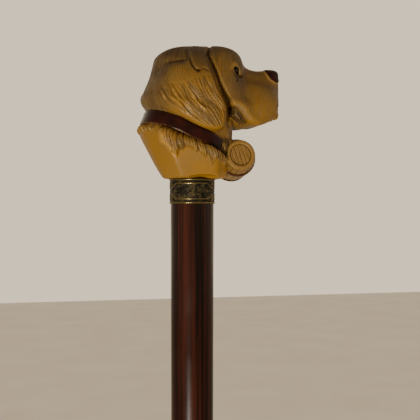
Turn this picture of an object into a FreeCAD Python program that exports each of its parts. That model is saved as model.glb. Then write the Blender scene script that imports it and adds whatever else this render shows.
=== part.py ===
import FreeCAD, Part
import math
import os

import Sketcher
from FreeCAD import Vector

# A walking stick with a cast dog's head for a handle, standing upright on its rubber tip.
# The shaft runs up the Z axis and the origin is the centre of the tip's underside.
# The dog looks along +X, and its left side, the near one, is at -Y.

os.makedirs("parts", exist_ok=True)
doc = FreeCAD.newDocument("walking_stick")

# Driving sizes in millimetres, angles in degrees
driving_sizes = (
    # tapered hardwood shaft with a turned tenon under the handle
    ("shaft_length", 827.0),
    ("shaft_top_diameter", 21.6),
    ("shaft_tip_diameter", 17.0),
    ("tenon_diameter", 19.8),
    ("tenon_gap", 0.1),
    # brass collar between shaft and handle
    ("collar_length", 12.4),
    ("collar_diameter", 22.2),
    ("rim_bead_radius", 0.45),
    # steel stud that joins handle and shaft
    ("stud_diameter", 8.0),
    ("stud_length", 70.0),
    ("stud_in_head", 26.0),
    ("stud_chamfer", 0.8),
    ("drill_room", 0.5),
    ("fit_clearance", 0.05),
    # rubber tip and the washer inside it
    ("rubber_floor", 7.8),
    ("washer_thickness", 1.2),
    ("ferrule_height", 36.0),
    ("ferrule_base_diameter", 30.0),
    ("ferrule_base_band", 5.0),
    ("ferrule_flare_height", 9.0),
    ("ferrule_wall", 3.5),
    ("ferrule_lip", 0.8),
    ("ferrule_edge_radius", 0.6),
    ("tread_groove_width", 1.8),
    ("tread_groove_depth", 1.2),
    ("tread_pitch", 4.6),
    ("tread_pad_radius", 4.0),
    # cast head: nose to nape, base to crown, and across the ears
    ("head_length", 71.7),
    ("head_height", 66.2),
    ("head_width", 49.0),
    ("ruff_thickness", 1.3),
    ("base_arch_rise", 1.5),
    ("base_arch_width", 13.0),
    # leather strap round the neck
    ("strap_thickness", 1.2),
    ("strap_width", 6.2),
    ("glue_gap", 0.1),
    # bead eyes and the inset nose
    ("eye_diameter", 4.8),
    ("nose_width", 14.0),
    ("nose_proud", 0.35),
    # little keg under the throat, with its hoops, end boards and links
    ("keg_length", 27.0),
    ("keg_end_diameter", 14.6),
    ("keg_belly_diameter", 18.8),
    ("keg_tilt", 9.6),
    ("keg_rim", 1.4),
    ("keg_recess", 0.8),
    ("keg_board_thickness", 1.6),
    ("plank_pitch", 1.9),
    ("plank_groove_width", 0.45),
    ("plank_groove_depth", 0.35),
    ("plank_angle", -14.0),
    ("hoop_offset", 6.5),
    ("hoop_width", 2.2),
    ("hoop_thickness", 0.45),
    ("link_radius", 1.6),
    ("link_wire", 1.2),
    ("link_spread", 18.0),
    # one overrun for every cut that passes out of a piece
    ("overrun", 5.0),
)
sheet = doc.addObject("Spreadsheet::Sheet", "Sizes")
for row, (name, value) in enumerate(driving_sizes, start=1):
    sheet.set("A%d" % row, name)
    sheet.set("B%d" % row, str(value))
    sheet.setAlias("B%d" % row, name)
doc.recompute()


def size(expression):
    """The value of an expression on the sheet, in millimetres or degrees."""
    return float(sheet.evalExpression(expression))


# Heights that several pieces share, as expressions on the sheet
shaft_foot = "(Sizes.rubber_floor + Sizes.washer_thickness)"
shoulder = "(%s + Sizes.shaft_length)" % shaft_foot
head_base = "(%s + Sizes.collar_length)" % shoulder
tenon_length = "(Sizes.collar_length - Sizes.tenon_gap)"

# Turned and padded pieces


def origin_plane(body, role):
    """One of a body's own origin planes, found by its role."""
    return [plane for plane in body.Origin.OriginFeatures if plane.Role == role][0]


def new_sketch(body, name, role):
    """A sketch on one of the body's origin planes."""
    sketch = body.newObject("Sketcher::SketchObject", name)
    sketch.AttachmentSupport = (origin_plane(body, role), [""])
    sketch.MapMode = "FlatFace"
    return sketch


def bind(sketch, constraint, expression):
    """Add a constraint whose value follows an expression on the sheet."""
    index = sketch.addConstraint(constraint)
    sketch.setExpression("Constraints[%d]" % index, expression)


def outward_arc(start, end, radius):
    """The arc from start to end, anticlockwise, with the given radius."""
    middle = (start + end) * 0.5
    half = (end - start) * 0.5
    inward = Vector(-half.y, half.x, 0).normalize()
    centre = middle + inward * math.sqrt(radius ** 2 - half.Length ** 2)
    circle = Part.Circle(centre, Vector(0, 0, 1), radius)
    first = math.atan2(start.y - centre.y, start.x - centre.x)
    last = math.atan2(end.y - centre.y, end.x - centre.x)
    return Part.ArcOfCircle(circle, first, last if last > first else last + 2 * math.pi)


def draw_outline(sketch, corners):
    """Draw a closed anticlockwise outline and bind each corner to the sheet.

    A corner is (across, up), or (across, up, radius) when an arc leads to it.
    """
    points = [Vector(size(corner[0]), size(corner[1]), 0) for corner in corners]
    for index in range(len(corners)):
        following = (index + 1) % len(corners)
        if len(corners[following]) == 3:
            arc = outward_arc(points[index], points[following], size(corners[following][2]))
            sketch.addGeometry(arc, False)
        else:
            sketch.addGeometry(Part.LineSegment(points[index], points[following]), False)
    for index, corner in enumerate(corners):
        previous = (index - 1) % len(corners)
        sketch.addConstraint(Sketcher.Constraint("Coincident", previous, 2, index, 1))
        if len(corner) == 3:
            radius = Sketcher.Constraint("Radius", previous, size(corner[2]))
            bind(sketch, radius, corner[2])
        if corner[0] == "0":
            sketch.addConstraint(Sketcher.Constraint("PointOnObject", index, 1, -2))
        else:
            across = Sketcher.Constraint("DistanceX", -1, 1, index, 1, points[index].x)
            bind(sketch, across, corner[0])
        if corner[1] == "0":
            sketch.addConstraint(Sketcher.Constraint("PointOnObject", index, 1, -1))
        else:
            up = Sketcher.Constraint("DistanceY", -1, 1, index, 1, points[index].y)
            bind(sketch, up, corner[1])


def turned(label, corners, lift=None):
    """A body turned about Z from its half outline, lifted to its height."""
    body = doc.addObject("PartDesign::Body", label)
    body.Label = label
    sketch = new_sketch(body, label + "_outline", "XZ_Plane")
    draw_outline(sketch, corners)
    turn = body.newObject("PartDesign::Revolution", label + "_turning")
    turn.Profile = sketch
    turn.ReferenceAxis = (sketch, ["V_Axis"])
    turn.Angle = 360
    sketch.Visibility = False
    if lift:
        body.setExpression("Placement.Base.z", lift)
    return body


def make_shaft():
    tip = "Sizes.shaft_tip_diameter / 2"
    top = "Sizes.shaft_top_diameter / 2"
    tenon = "Sizes.tenon_diameter / 2"
    bore = "Sizes.stud_diameter / 2 + Sizes.fit_clearance"
    tenon_top = "Sizes.shaft_length + " + tenon_length
    bore_foot = "Sizes.shaft_length + Sizes.collar_length + Sizes.stud_in_head - Sizes.stud_length - Sizes.drill_room"
    return turned("shaft", [
        ("0", "0"), (tip, "0"), (top, "Sizes.shaft_length"), (tenon, "Sizes.shaft_length"),
        (tenon, tenon_top), (bore, tenon_top), (bore, bore_foot), ("0", bore_foot),
    ], shaft_foot)


def make_brass_collar():
    bore = "Sizes.tenon_diameter / 2 + Sizes.fit_clearance"
    field = "Sizes.collar_diameter / 2"
    bead = "Sizes.rim_bead_radius"
    crest = "%s + %s" % (field, bead)
    top = "Sizes.collar_length"
    return turned("brass_collar", [
        (bore, "0"), (field, "0"), (crest, "0.6 * " + bead), (crest, "1.4 * " + bead),
        (field, "2 * " + bead), (field, "%s - 2 * %s" % (top, bead)),
        (crest, "%s - 1.4 * %s" % (top, bead)), (crest, "%s - 0.6 * %s" % (top, bead)),
        (field, top), (bore, top),
    ], shoulder)


def make_joining_stud():
    radius = "Sizes.stud_diameter / 2"
    end = "%s - Sizes.stud_chamfer" % radius
    return turned("joining_stud", [
        ("0", "0"), (end, "0"), (radius, "Sizes.stud_chamfer"),
        (radius, "Sizes.stud_length - Sizes.stud_chamfer"), (end, "Sizes.stud_length"),
        ("0", "Sizes.stud_length"),
    ], "%s + Sizes.stud_in_head - Sizes.stud_length" % head_base)


def make_rubber_ferrule():
    tip = "Sizes.shaft_tip_diameter / 2"
    taper = "(Sizes.shaft_top_diameter / 2 - %s) / Sizes.shaft_length" % tip
    grip = "(Sizes.ferrule_height - %s)" % shaft_foot
    bore_foot = "%s + Sizes.fit_clearance" % tip
    bore_top = "%s + %s * %s" % (bore_foot, taper, grip)
    sleeve = "%s + Sizes.ferrule_wall" % bore_foot
    lip = "%s + Sizes.ferrule_lip" % sleeve
    edge = "Sizes.ferrule_edge_radius"
    base = "Sizes.ferrule_base_diameter / 2"
    tread = [("0", "0")]
    for ring in range(2):
        inner = "Sizes.tread_pad_radius + %d * Sizes.tread_pitch" % ring
        outer = inner + " + Sizes.tread_groove_width"
        tread += [(inner, "0"), (inner, "Sizes.tread_groove_depth"),
                  (outer, "Sizes.tread_groove_depth"), (outer, "0")]
    return turned("rubber_ferrule", tread + [
        ("%s - %s" % (base, edge), "0"), (base, edge),
        (base, "Sizes.ferrule_base_band"),
        (sleeve, "Sizes.ferrule_base_band + Sizes.ferrule_flare_height"),
        (sleeve, "Sizes.ferrule_height - 4 * " + edge),
        (lip, "Sizes.ferrule_height - 3 * " + edge),
        (lip, "Sizes.ferrule_height - " + edge),
        ("%s - %s" % (lip, edge), "Sizes.ferrule_height"),
        (bore_top, "Sizes.ferrule_height"), (bore_foot, "Sizes.rubber_floor"),
        ("0", "Sizes.rubber_floor"),
    ])


def make_ferrule_washer():
    washer = doc.addObject("Part::Cylinder", "ferrule_washer")
    washer.Label = "ferrule_washer"
    washer.setExpression("Radius", "Sizes.shaft_tip_diameter / 2")
    washer.setExpression("Height", "Sizes.washer_thickness")
    washer.setExpression("Placement.Base.z", "Sizes.rubber_floor")
    return washer


# Keg, drawn about its own Z axis and laid across the throat

keg_place_shares = (0.300, 0.143)
link_angle = 131
stave_rise = "(Sizes.keg_belly_diameter - Sizes.keg_end_diameter) / 2"
stave_radius = "((Sizes.keg_length / 2)^2 + (%s)^2) / (2 * (%s))" % (stave_rise, stave_rise)


def keg_radius_at(distance):
    """Radius of the keg at a distance along its axis from the middle."""
    return ("(Sizes.keg_belly_diameter / 2 - %s + sqrt((%s)^2 - (%s)^2))"
            % (stave_radius, stave_radius, distance))


def keg_placement(along=0.0, out=0.0, angle=0.0, spin=0.0):
    """A place on the keg: along its axis, out from it at an angle, and spun about it.

    +Z of the keg points to its near end, and its angle starts at the front and turns up.
    """
    lay = FreeCAD.Rotation(Vector(1, 0, 0), 90 - size("Sizes.keg_tilt"))
    centre = Vector(keg_place_shares[0] * size("Sizes.head_length"), 0,
                    size(head_base) + keg_place_shares[1] * size("Sizes.head_height"))
    away = FreeCAD.Rotation(Vector(0, 0, 1), angle).multVec(Vector(out, 0, along))
    turn = FreeCAD.Rotation(Vector(0, 0, 1), spin)
    return FreeCAD.Placement(centre + lay.multVec(away), lay.multiply(turn))


def keg_outline(board_room):
    """Half outline of the keg with a recess at each end for its boards."""
    end = "Sizes.keg_end_diameter / 2"
    inside = "%s - Sizes.keg_rim" % end
    half = "Sizes.keg_length / 2"
    seat = "(%s - %s)" % (half, board_room)
    return [
        ("0", "-" + seat), (inside, "-" + seat), (inside, "-" + half), (end, "-" + half),
        (end, half, stave_radius), (inside, half), (inside, seat), ("0", seat),
    ]


def make_keg_body():
    keg = turned("keg_body", keg_outline("(Sizes.keg_recess + Sizes.keg_board_thickness)"))
    keg.Placement = keg_placement()
    return keg


def make_keg_hoop(label, side):
    """A hoop round the staves, on the near side (1) or the far side (-1)."""
    inner = "Sizes.hoop_offset - Sizes.hoop_width / 2"
    outer = "Sizes.hoop_offset + Sizes.hoop_width / 2"
    wide = keg_radius_at(inner) + " + Sizes.fit_clearance"
    narrow = keg_radius_at(outer) + " + Sizes.fit_clearance"
    edges = [(wide, inner), (narrow, outer)]
    if side < 0:
        edges = [(narrow, "-(%s)" % outer), (wide, "-(%s)" % inner)]
    (low_radius, low), (high_radius, high) = edges
    hoop = turned(label, [
        (low_radius, low), (low_radius + " + Sizes.hoop_thickness", low),
        (high_radius + " + Sizes.hoop_thickness", high), (high_radius, high),
    ])
    hoop.Placement = keg_placement()
    return hoop


def make_keg_board(label, side):
    """A round end board with saw cuts between its planks."""
    body = doc.addObject("PartDesign::Body", label)
    body.Label = label
    radius = "Sizes.keg_end_diameter / 2 - Sizes.keg_rim - Sizes.fit_clearance"
    disc = new_sketch(body, label + "_disc", "XY_Plane")
    disc.addGeometry(Part.Circle(Vector(0, 0, 0), Vector(0, 0, 1), size(radius)), False)
    disc.addConstraint(Sketcher.Constraint("Coincident", 0, 3, -1, 1))
    bind(disc, Sketcher.Constraint("Radius", 0, size(radius)), radius)
    pad = body.newObject("PartDesign::Pad", label + "_board")
    pad.Profile = disc
    pad.setExpression("Length", "Sizes.keg_board_thickness")
    pad.Reversed = True
    doc.recompute()
    count = 6
    first = "-%g * Sizes.plank_pitch" % ((count - 1) / 2)
    left = "%s - Sizes.plank_groove_width / 2" % first
    right = "%s + Sizes.plank_groove_width / 2" % first
    top = "Sizes.keg_end_diameter / 2"
    cut = new_sketch(body, label + "_saw_cut", "XY_Plane")
    draw_outline(cut, [(left, "-" + top), (right, "-" + top), (right, top), (left, top)])
    pocket = body.newObject("PartDesign::Pocket", label + "_first_cut")
    pocket.Profile = cut
    pocket.setExpression("Length", "Sizes.plank_groove_depth")
    doc.recompute()
    pattern = body.newObject("PartDesign::LinearPattern", label + "_saw_cuts")
    pattern.Originals = [pocket]
    pattern.Direction = (cut, ["H_Axis"])
    pattern.setExpression("Length", "%d * Sizes.plank_pitch" % (count - 1))
    pattern.Occurrences = count
    body.Tip = pattern
    along = size("Sizes.keg_length / 2 - Sizes.keg_recess")
    body.Placement = keg_placement(side * along, spin=size("Sizes.plank_angle"))
    if side < 0:
        flip = FreeCAD.Placement(Vector(0, 0, 0), FreeCAD.Rotation(Vector(1, 0, 0), 180))
        body.Placement = body.Placement.multiply(flip)
    return body


def link_placement(side):
    """The place of a link: standing on the staves, up and back towards the throat."""
    along = "Sizes.link_spread / 2"
    out = keg_radius_at(along) + " + Sizes.fit_clearance + Sizes.link_radius + Sizes.link_wire / 2"
    return keg_placement(side * size(along), size(out), link_angle)


def make_keg_link(label, side):
    """A small wire ring between the keg and the strap."""
    link = doc.addObject("Part::Torus", label)
    link.Label = label
    link.setExpression("Radius1", "Sizes.link_radius")
    link.setExpression("Radius2", "Sizes.link_wire / 2")
    link.Placement = link_placement(side)
    return link


# Cast head. Tables of places are shares of the head's length, height and width,
# measured from the middle of its base, and the sections tilt with their two ends.

head_length = size("Sizes.head_length")
head_height = size("Sizes.head_height")
head_width = size("Sizes.head_width")

# back x, back z, front x, front z, half width at the back, half width at the front
bust_shares = (
    (-0.20, 0.00, 0.22, 0.00, 0.285, 0.285),
    (-0.26, 0.11, 0.23, 0.04, 0.340, 0.330),
    (-0.35, 0.30, 0.25, 0.12, 0.415, 0.400),
    (-0.375, 0.36, 0.245, 0.150, 0.425, 0.410),
    (-0.345, 0.39, 0.225, 0.165, 0.385, 0.375),
)
flat_shares = ((0, 0.28), (0.20, 1.0), (0.78, 1.0), (1, 0.45))
neck_shares = (
    (-0.370, 0.37, 0.225, 0.12, 0.395, 0.390),
    (-0.325, 0.46, 0.230, 0.20, 0.390, 0.380),
    (-0.315, 0.53, 0.250, 0.27, 0.390, 0.375),
    (-0.340, 0.60, 0.270, 0.40, 0.395, 0.370),
)
skull_shares = (
    (-0.30, 0.52, 0.24, 0.30, 0.350, 0.330),
    (-0.355, 0.57, 0.27, 0.36, 0.400, 0.350),
    (-0.355, 0.62, 0.30, 0.46, 0.410, 0.340),
    (-0.305, 0.74, 0.33, 0.62, 0.425, 0.310),
    (-0.28, 0.83, 0.35, 0.76, 0.410, 0.270),
    (-0.26, 0.90, 0.345, 0.87, 0.345, 0.250),
    (-0.20, 0.955, 0.30, 0.950, 0.240, 0.200),
    (-0.12, 0.985, 0.23, 0.985, 0.150, 0.130),
    (-0.03, 0.997, 0.13, 0.999, 0.050, 0.050),
)
# x, bottom z, top z, half width at the bottom, half width at the top
muzzle_shares = (
    (0.16, 0.62, 0.83, 0.235, 0.125),
    (0.24, 0.535, 0.855, 0.265, 0.130),
    (0.31, 0.465, 0.855, 0.275, 0.140),
    (0.37, 0.410, 0.848, 0.280, 0.150),
    (0.45, 0.405, 0.835, 0.275, 0.155),
    (0.53, 0.430, 0.842, 0.255, 0.140),
    (0.59, 0.470, 0.838, 0.215, 0.115),
    (0.615, 0.520, 0.815, 0.170, 0.095),
    (0.623, 0.570, 0.780, 0.115, 0.070),
)
jaw_shares = (
    (0.12, 0.440, 0.66, 0.190, 0.190),
    (0.24, 0.390, 0.62, 0.205, 0.215),
    (0.32, 0.375, 0.60, 0.200, 0.210),
    (0.44, 0.405, 0.57, 0.170, 0.180),
    (0.53, 0.450, 0.55, 0.110, 0.120),
)
# z, back x, front x, back y, front y, half thickness
ear_shares = (
    (0.965, 0.01, 0.075, 0.215, 0.215, 0.045),
    (0.93, -0.04, 0.075, 0.310, 0.290, 0.055),
    (0.87, -0.12, 0.090, 0.385, 0.355, 0.070),
    (0.80, -0.22, 0.110, 0.405, 0.380, 0.078),
    (0.71, -0.28, 0.140, 0.412, 0.392, 0.078),
    (0.61, -0.305, 0.170, 0.418, 0.398, 0.078),
    (0.53, -0.295, 0.197, 0.420, 0.402, 0.076),
    (0.46, -0.18, 0.200, 0.425, 0.405, 0.072),
    (0.40, -0.045, 0.187, 0.425, 0.410, 0.062),
)
strap_top_shares = (
    (-0.45, 0.53), (-0.31, 0.495), (-0.24, 0.475), (-0.14, 0.435),
    (-0.05, 0.385), (0.07, 0.335), (0.14, 0.295), (0.30, 0.190),
)
tuft_shares = (
    (-0.42, 0.33), (-0.34, 0.345), (-0.30, 0.285), (-0.275, 0.30), (-0.255, 0.24),
    (-0.235, 0.245), (-0.17, 0.150), (-0.155, 0.185), (-0.125, 0.165), (-0.10, 0.205),
    (-0.065, 0.175), (-0.05, 0.195), (0.00, 0.125), (0.02, 0.160), (0.055, 0.105),
    (0.07, 0.135), (0.12, 0.065), (0.135, 0.105), (0.175, 0.085), (0.20, 0.12), (0.28, 0.07),
)
nose_shares = (
    (0.525, 0.90), (0.67, 0.90), (0.67, 0.74), (0.60, 0.725), (0.555, 0.765),
)
eye_place_shares = (0.283, 0.205, 0.812)
brow_place_shares = (0.195, 0.100, 0.885)
brow_shares = (0.165, 0.175, 0.110)
arch_place_share = 0.038

# How square the sections are, and how many points draw one
body_softness = 0.85
muzzle_softness = 0.62
ear_softness = 0.62
section_points = 16


def spot(across, up, side=0.0):
    """A place on the head from its shares of length, height and width."""
    return Vector(across * head_length, side * head_width, up * head_height)


def smooth_loop(points):
    """A closed smooth wire through points, with the same even knots for every section."""
    curve = Part.BSplineCurve()
    knots = [step / len(points) for step in range(len(points) + 1)]
    curve.interpolate(Points=points, PeriodicFlag=True, Parameters=knots)
    return Part.Wire(curve.toShape())


def section(first, last, first_width, last_width, softness):
    """An oval from first to last with a half width at each; 1 is an ellipse, less is squarer."""
    middle = (first + last) * 0.5
    along = (last - first) * 0.5
    points = []
    for step in range(section_points):
        turn = 2 * math.pi * step / section_points
        ahead = math.copysign(abs(math.cos(turn)) ** softness, math.cos(turn))
        aside = math.copysign(abs(math.sin(turn)) ** softness, math.sin(turn))
        width = (first_width * (1 - ahead) + last_width * (1 + ahead)) / 2
        points.append(middle + along * ahead + Vector(0, aside * width, 0))
    return smooth_loop(points)


def tilted_form(shares, grow=0.0):
    """A form through sections given by their back and front ends and widths."""
    wires = []
    for back_x, back_z, front_x, front_z, back_width, front_width in shares:
        back = spot(back_x, back_z)
        front = spot(front_x, front_z)
        reach = (front - back).normalize() * grow
        wires.append(section(back - reach, front + reach, back_width * head_width + grow,
                             front_width * head_width + grow, body_softness))
    return Part.makeLoft(wires, True)


def forward_form(shares, grow=0.0):
    """A form along the muzzle through upright sections, grown outward and forward."""
    wires = []
    for forward, bottom, top, low_width, high_width in shares:
        low = spot(forward, bottom) + Vector(grow, 0, -grow)
        high = spot(forward, top) + Vector(grow, 0, grow)
        wires.append(section(low, high, low_width * head_width + grow,
                             high_width * head_width + grow, muzzle_softness))
    return Part.makeLoft(wires, True)


def bust_facets(grow=0.0):
    """The smooth faceted foot of the casting, with flats round it."""
    wires = []
    for back_x, back_z, front_x, front_z, back_width, front_width in bust_shares:
        back = spot(back_x, back_z)
        front = spot(front_x, front_z)
        reach = (front - back).normalize() * grow
        length = front - back + reach * 2
        one_side = []
        for along, across in flat_shares:
            half_width = back_width + (front_width - back_width) * along
            width = across * (half_width * head_width + grow)
            one_side.append(back - reach + length * along + Vector(0, width, 0))
        other_side = [Vector(point.x, -point.y, point.z) for point in reversed(one_side)]
        points = one_side + other_side
        wires.append(Part.makePolygon(points + points[:1]))
    return Part.makeLoft(wires, True, True)


def across_block(points):
    """A block across the whole head from an outline in its side view."""
    half = head_width / 2 + size("Sizes.overrun")
    moved = [point - Vector(0, half, 0) for point in points]
    face = Part.Face(Part.makePolygon(moved + moved[:1]))
    return face.extrude(Vector(0, 2 * half, 0))


def strap_band(grow=0.0):
    """Side outline of the strap, its lower edge a strap's width below the upper one."""
    top = [spot(across, up) for across, up in strap_top_shares]
    slope = (top[-1] - top[0]).normalize()
    down = Vector(slope.z, 0, -slope.x)
    width = size("Sizes.strap_width")
    upper = [point - down * grow for point in top]
    lower = [point + down * (width + grow) for point in reversed(top)]
    return across_block(upper + lower)


def ellipsoid(place, radii):
    """A rounded lump with its three radii along X, Y and Z."""
    ball = Part.makeSphere(1)
    scale = FreeCAD.Matrix()
    scale.scale(radii)
    lump = ball.transformGeometry(scale)
    lump.translate(place)
    return lump


def lump_pair(place_shares, radius_shares):
    """The same lump on both sides of the head."""
    across, side, up = place_shares
    radii = Vector(radius_shares[0] * head_length, radius_shares[1] * head_width,
                   radius_shares[2] * head_height)
    return [ellipsoid(spot(across, up, -side), radii), ellipsoid(spot(across, up, side), radii)]


def make_ears():
    """Both hanging ears, each a stack of flat oval sections."""
    wires = []
    for up, back_x, front_x, back_y, front_y, thickness in ear_shares:
        half = thickness * head_width
        wires.append(section(spot(back_x, up, back_y), spot(front_x, up, front_y),
                             half, half, ear_softness))
    ear = Part.makeLoft(wires, True)
    return [ear, ear.mirror(Vector(0, 0, 0), Vector(0, 1, 0))]


def strap_room():
    """The room that the strap takes in hair and ears, with the neck in it."""
    clearance = size("Sizes.glue_gap")
    outside = 2 * clearance + size("Sizes.strap_thickness")
    return tilted_form(neck_shares, outside).common(strap_band(clearance))


def head_feature(label, shape):
    """A piece modelled in the head's frame and lifted to the head's base."""
    feature = doc.addObject("Part::Feature", label)
    feature.Label = label
    feature.Shape = shape
    feature.Placement = FreeCAD.Placement(Vector(0, 0, size(head_base)), FreeCAD.Rotation())
    return feature


def in_head_frame(shape):
    """A copy of a placed shape, lowered into the head's frame."""
    lowered = shape.copy()
    lowered.translate(Vector(0, 0, -size(head_base)))
    return lowered


def make_neck_strap():
    gap = size("Sizes.glue_gap")
    outer = tilted_form(neck_shares, gap + size("Sizes.strap_thickness"))
    strap = outer.common(strap_band()).cut(tilted_form(neck_shares, gap))
    for room in [keg_room()] + link_rooms():
        strap = strap.cut(room)
    # The band is open at the throat, where its two ends butt against the keg
    return head_feature("neck_strap", max(strap.Solids, key=lambda solid: solid.Volume))


def nose_block(grow=0.0):
    """The room of the nose: its side outline, as wide as the nose, grown back and down."""
    half = size("Sizes.nose_width") / 2 + grow
    points = [spot(across, up) - Vector(grow, 0, grow) for across, up in nose_shares]
    moved = [point - Vector(0, half, 0) for point in points]
    return Part.Face(Part.makePolygon(moved + moved[:1])).extrude(Vector(0, 2 * half, 0))


def make_nose():
    proud = forward_form(muzzle_shares, size("Sizes.nose_proud"))
    return head_feature("nose", proud.common(nose_block()))


def make_eye(label, side):
    across, out, up = eye_place_shares
    bead = Part.makeSphere(size("Sizes.eye_diameter") / 2, spot(across, up, side * out))
    return head_feature(label, bead)


def eye_socket(side):
    """The round hole with a flat floor that a bead eye is glued into."""
    across, out, up = eye_place_shares
    radius = size("Sizes.eye_diameter / 2 + Sizes.glue_gap")
    floor = spot(across, up, side * out) - Vector(0, side * radius, 0)
    return Part.makeCylinder(radius, size("Sizes.eye_diameter"), floor, Vector(0, side, 0))


def make_dog_head():
    """The casting: bust, ruff, neck, skull, muzzle, jaw, flews, brows and ears."""
    room = strap_room()
    bust = bust_facets()
    ruff = bust_facets(size("Sizes.ruff_thickness"))
    hair_line = [spot(across, up) for across, up in tuft_shares]
    hair_top = [spot(0.40, 0.30), spot(-0.42, 0.60)]
    ruff = ruff.common(across_block(hair_line + hair_top))
    head = bust.fuse([ruff] + [ear.cut(room) for ear in make_ears()])
    head = head.cut(room)
    head = head.fuse([
        tilted_form(neck_shares),
        tilted_form(skull_shares),
        forward_form(muzzle_shares),
        forward_form(jaw_shares),
    ] + lump_pair(brow_place_shares, brow_shares))
    gap = size("Sizes.glue_gap")
    stud_room = Part.makeCylinder(size("Sizes.stud_diameter / 2 + Sizes.fit_clearance"),
                                  size("Sizes.stud_in_head + Sizes.drill_room"))
    for room in [nose_block(gap), eye_socket(1), eye_socket(-1), stud_room,
                 base_arch(), keg_room()] + link_rooms():
        head = head.cut(room)
    return head_feature("dog_head", head)


def base_arch():
    """The low arch in the near edge of the base, above the collar."""
    rise = size("Sizes.base_arch_rise")
    half = size("Sizes.base_arch_width") / 2
    radius = (half ** 2 + rise ** 2) / (2 * rise)
    outside = head_width / 2
    arch = Part.makeCylinder(radius, outside - size("Sizes.stud_diameter"),
                             Vector(arch_place_share * head_length, -outside, rise - radius),
                             Vector(0, 1, 0))
    return arch


def keg_room():
    """The room of the keg and its hoops, a plain drum with tapered ends in the head's frame."""
    grow = size("Sizes.hoop_thickness + 2 * Sizes.fit_clearance + Sizes.glue_gap")
    half = size("Sizes.keg_length / 2") + grow
    end = size("Sizes.keg_end_diameter / 2") + grow
    belly = size("Sizes.keg_belly_diameter / 2") + grow
    outline = Part.Face(Part.makePolygon([
        Vector(0, 0, -half), Vector(end, 0, -half), Vector(belly, 0, -half / 2),
        Vector(belly, 0, half / 2), Vector(end, 0, half), Vector(0, 0, half), Vector(0, 0, -half),
    ]))
    room = outline.revolve(Vector(0, 0, 0), Vector(0, 0, 1), 360)
    room.Placement = keg_placement()
    return in_head_frame(room)


def link_rooms():
    """The slots that the links take in throat and strap."""
    gap = size("Sizes.glue_gap")
    reach = size("Sizes.link_radius + Sizes.link_wire / 2") + gap
    thick = size("Sizes.link_wire") + 2 * gap
    rooms = []
    for side in (1, -1):
        slot = Part.makeCylinder(reach, thick, Vector(0, 0, -thick / 2))
        slot.Placement = link_placement(side)
        rooms.append(in_head_frame(slot))
    return rooms


# Order of making: whatever another piece is cut by comes first

pieces = [make_shaft(), make_brass_collar(), make_joining_stud(), make_rubber_ferrule(),
          make_ferrule_washer(), make_keg_body()]
for end_name, end_side in (("near", 1), ("far", -1)):
    pieces.append(make_keg_hoop("keg_hoop_" + end_name, end_side))
    pieces.append(make_keg_board("keg_board_" + end_name, end_side))
    pieces.append(make_keg_link("keg_link_" + end_name, end_side))
pieces.append(make_dog_head())
pieces.append(make_neck_strap())
pieces.append(make_nose())
pieces.append(make_eye("eye_left", -1))
pieces.append(make_eye("eye_right", 1))
doc.recompute()

for item in doc.Objects:
    if "Invalid" in item.State or "Error" in item.State:
        raise RuntimeError("%s is not made: %s" % (item.Name, item.State))
for piece in pieces:
    if piece.Shape.isNull() or not piece.Shape.isValid():
        raise RuntimeError("%s has no valid shape" % piece.Label)
for piece in pieces:
    piece.Shape.exportStep("parts/%s.step" % piece.Label)
    box = piece.Shape.BoundBox
    print("%-16s solids %d  faces %3d  volume %9.1f  x %6.1f %6.1f  y %6.1f %6.1f  z %6.1f %6.1f" % (
        piece.Label, len(piece.Shape.Solids), len(piece.Shape.Faces), piece.Shape.Volume,
        box.XMin, box.XMax, box.YMin, box.YMax, box.ZMin, box.ZMax))
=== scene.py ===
import math

import bpy
import numpy as np
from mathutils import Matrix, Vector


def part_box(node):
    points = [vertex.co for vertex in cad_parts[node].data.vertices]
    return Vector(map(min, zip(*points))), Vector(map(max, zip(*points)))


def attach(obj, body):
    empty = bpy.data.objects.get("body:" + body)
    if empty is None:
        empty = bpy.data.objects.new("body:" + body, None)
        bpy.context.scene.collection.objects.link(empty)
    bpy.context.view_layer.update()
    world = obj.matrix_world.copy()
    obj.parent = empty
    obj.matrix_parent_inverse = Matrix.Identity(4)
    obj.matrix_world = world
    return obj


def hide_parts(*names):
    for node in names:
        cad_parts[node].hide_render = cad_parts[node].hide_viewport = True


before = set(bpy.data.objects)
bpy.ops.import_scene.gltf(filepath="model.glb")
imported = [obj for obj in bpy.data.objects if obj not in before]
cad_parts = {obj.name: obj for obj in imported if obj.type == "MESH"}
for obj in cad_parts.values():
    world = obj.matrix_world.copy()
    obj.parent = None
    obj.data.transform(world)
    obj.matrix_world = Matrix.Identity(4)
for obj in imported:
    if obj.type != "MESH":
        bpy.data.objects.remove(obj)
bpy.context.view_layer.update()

import openvdb
from mathutils import Matrix, Vector, kdtree

# The handle is worked out in millimetres above the middle of its base, the dog looking
# along +X and its near side at -Y. toFrame lifts points to their place, in metres.
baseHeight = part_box("dog_head")[0][2]


def toFrame(points):
    return np.asarray(points, float) / 1000 + np.array([0, 0, baseHeight])


def addMesh(name, points, faces, material, smooth=True):
    mesh = bpy.data.meshes.new(name)
    mesh.from_pydata(np.asarray(points).tolist(), [], [list(face) for face in faces])
    mesh.update()
    if smooth:
        mesh.shade_smooth()
    piece = bpy.data.objects.new(name, mesh)
    bpy.context.scene.collection.objects.link(piece)
    mesh.materials.append(material)
    return piece


def addPiece(name, points, faces, material, node, slotName):
    piece = addMesh(name, toFrame(points), faces, material)
    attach(piece, "root")
    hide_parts(node)
    return piece


def keep(piece, name, rows):               # a number or vector at each point, for the material
    rows = np.asarray(rows, np.float32)
    kind, field = ("FLOAT_VECTOR", "vector") if rows.ndim > 1 else ("FLOAT", "value")
    piece.data.attributes.new(name, kind, "POINT").data.foreach_set(field, rows.ravel())


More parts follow.
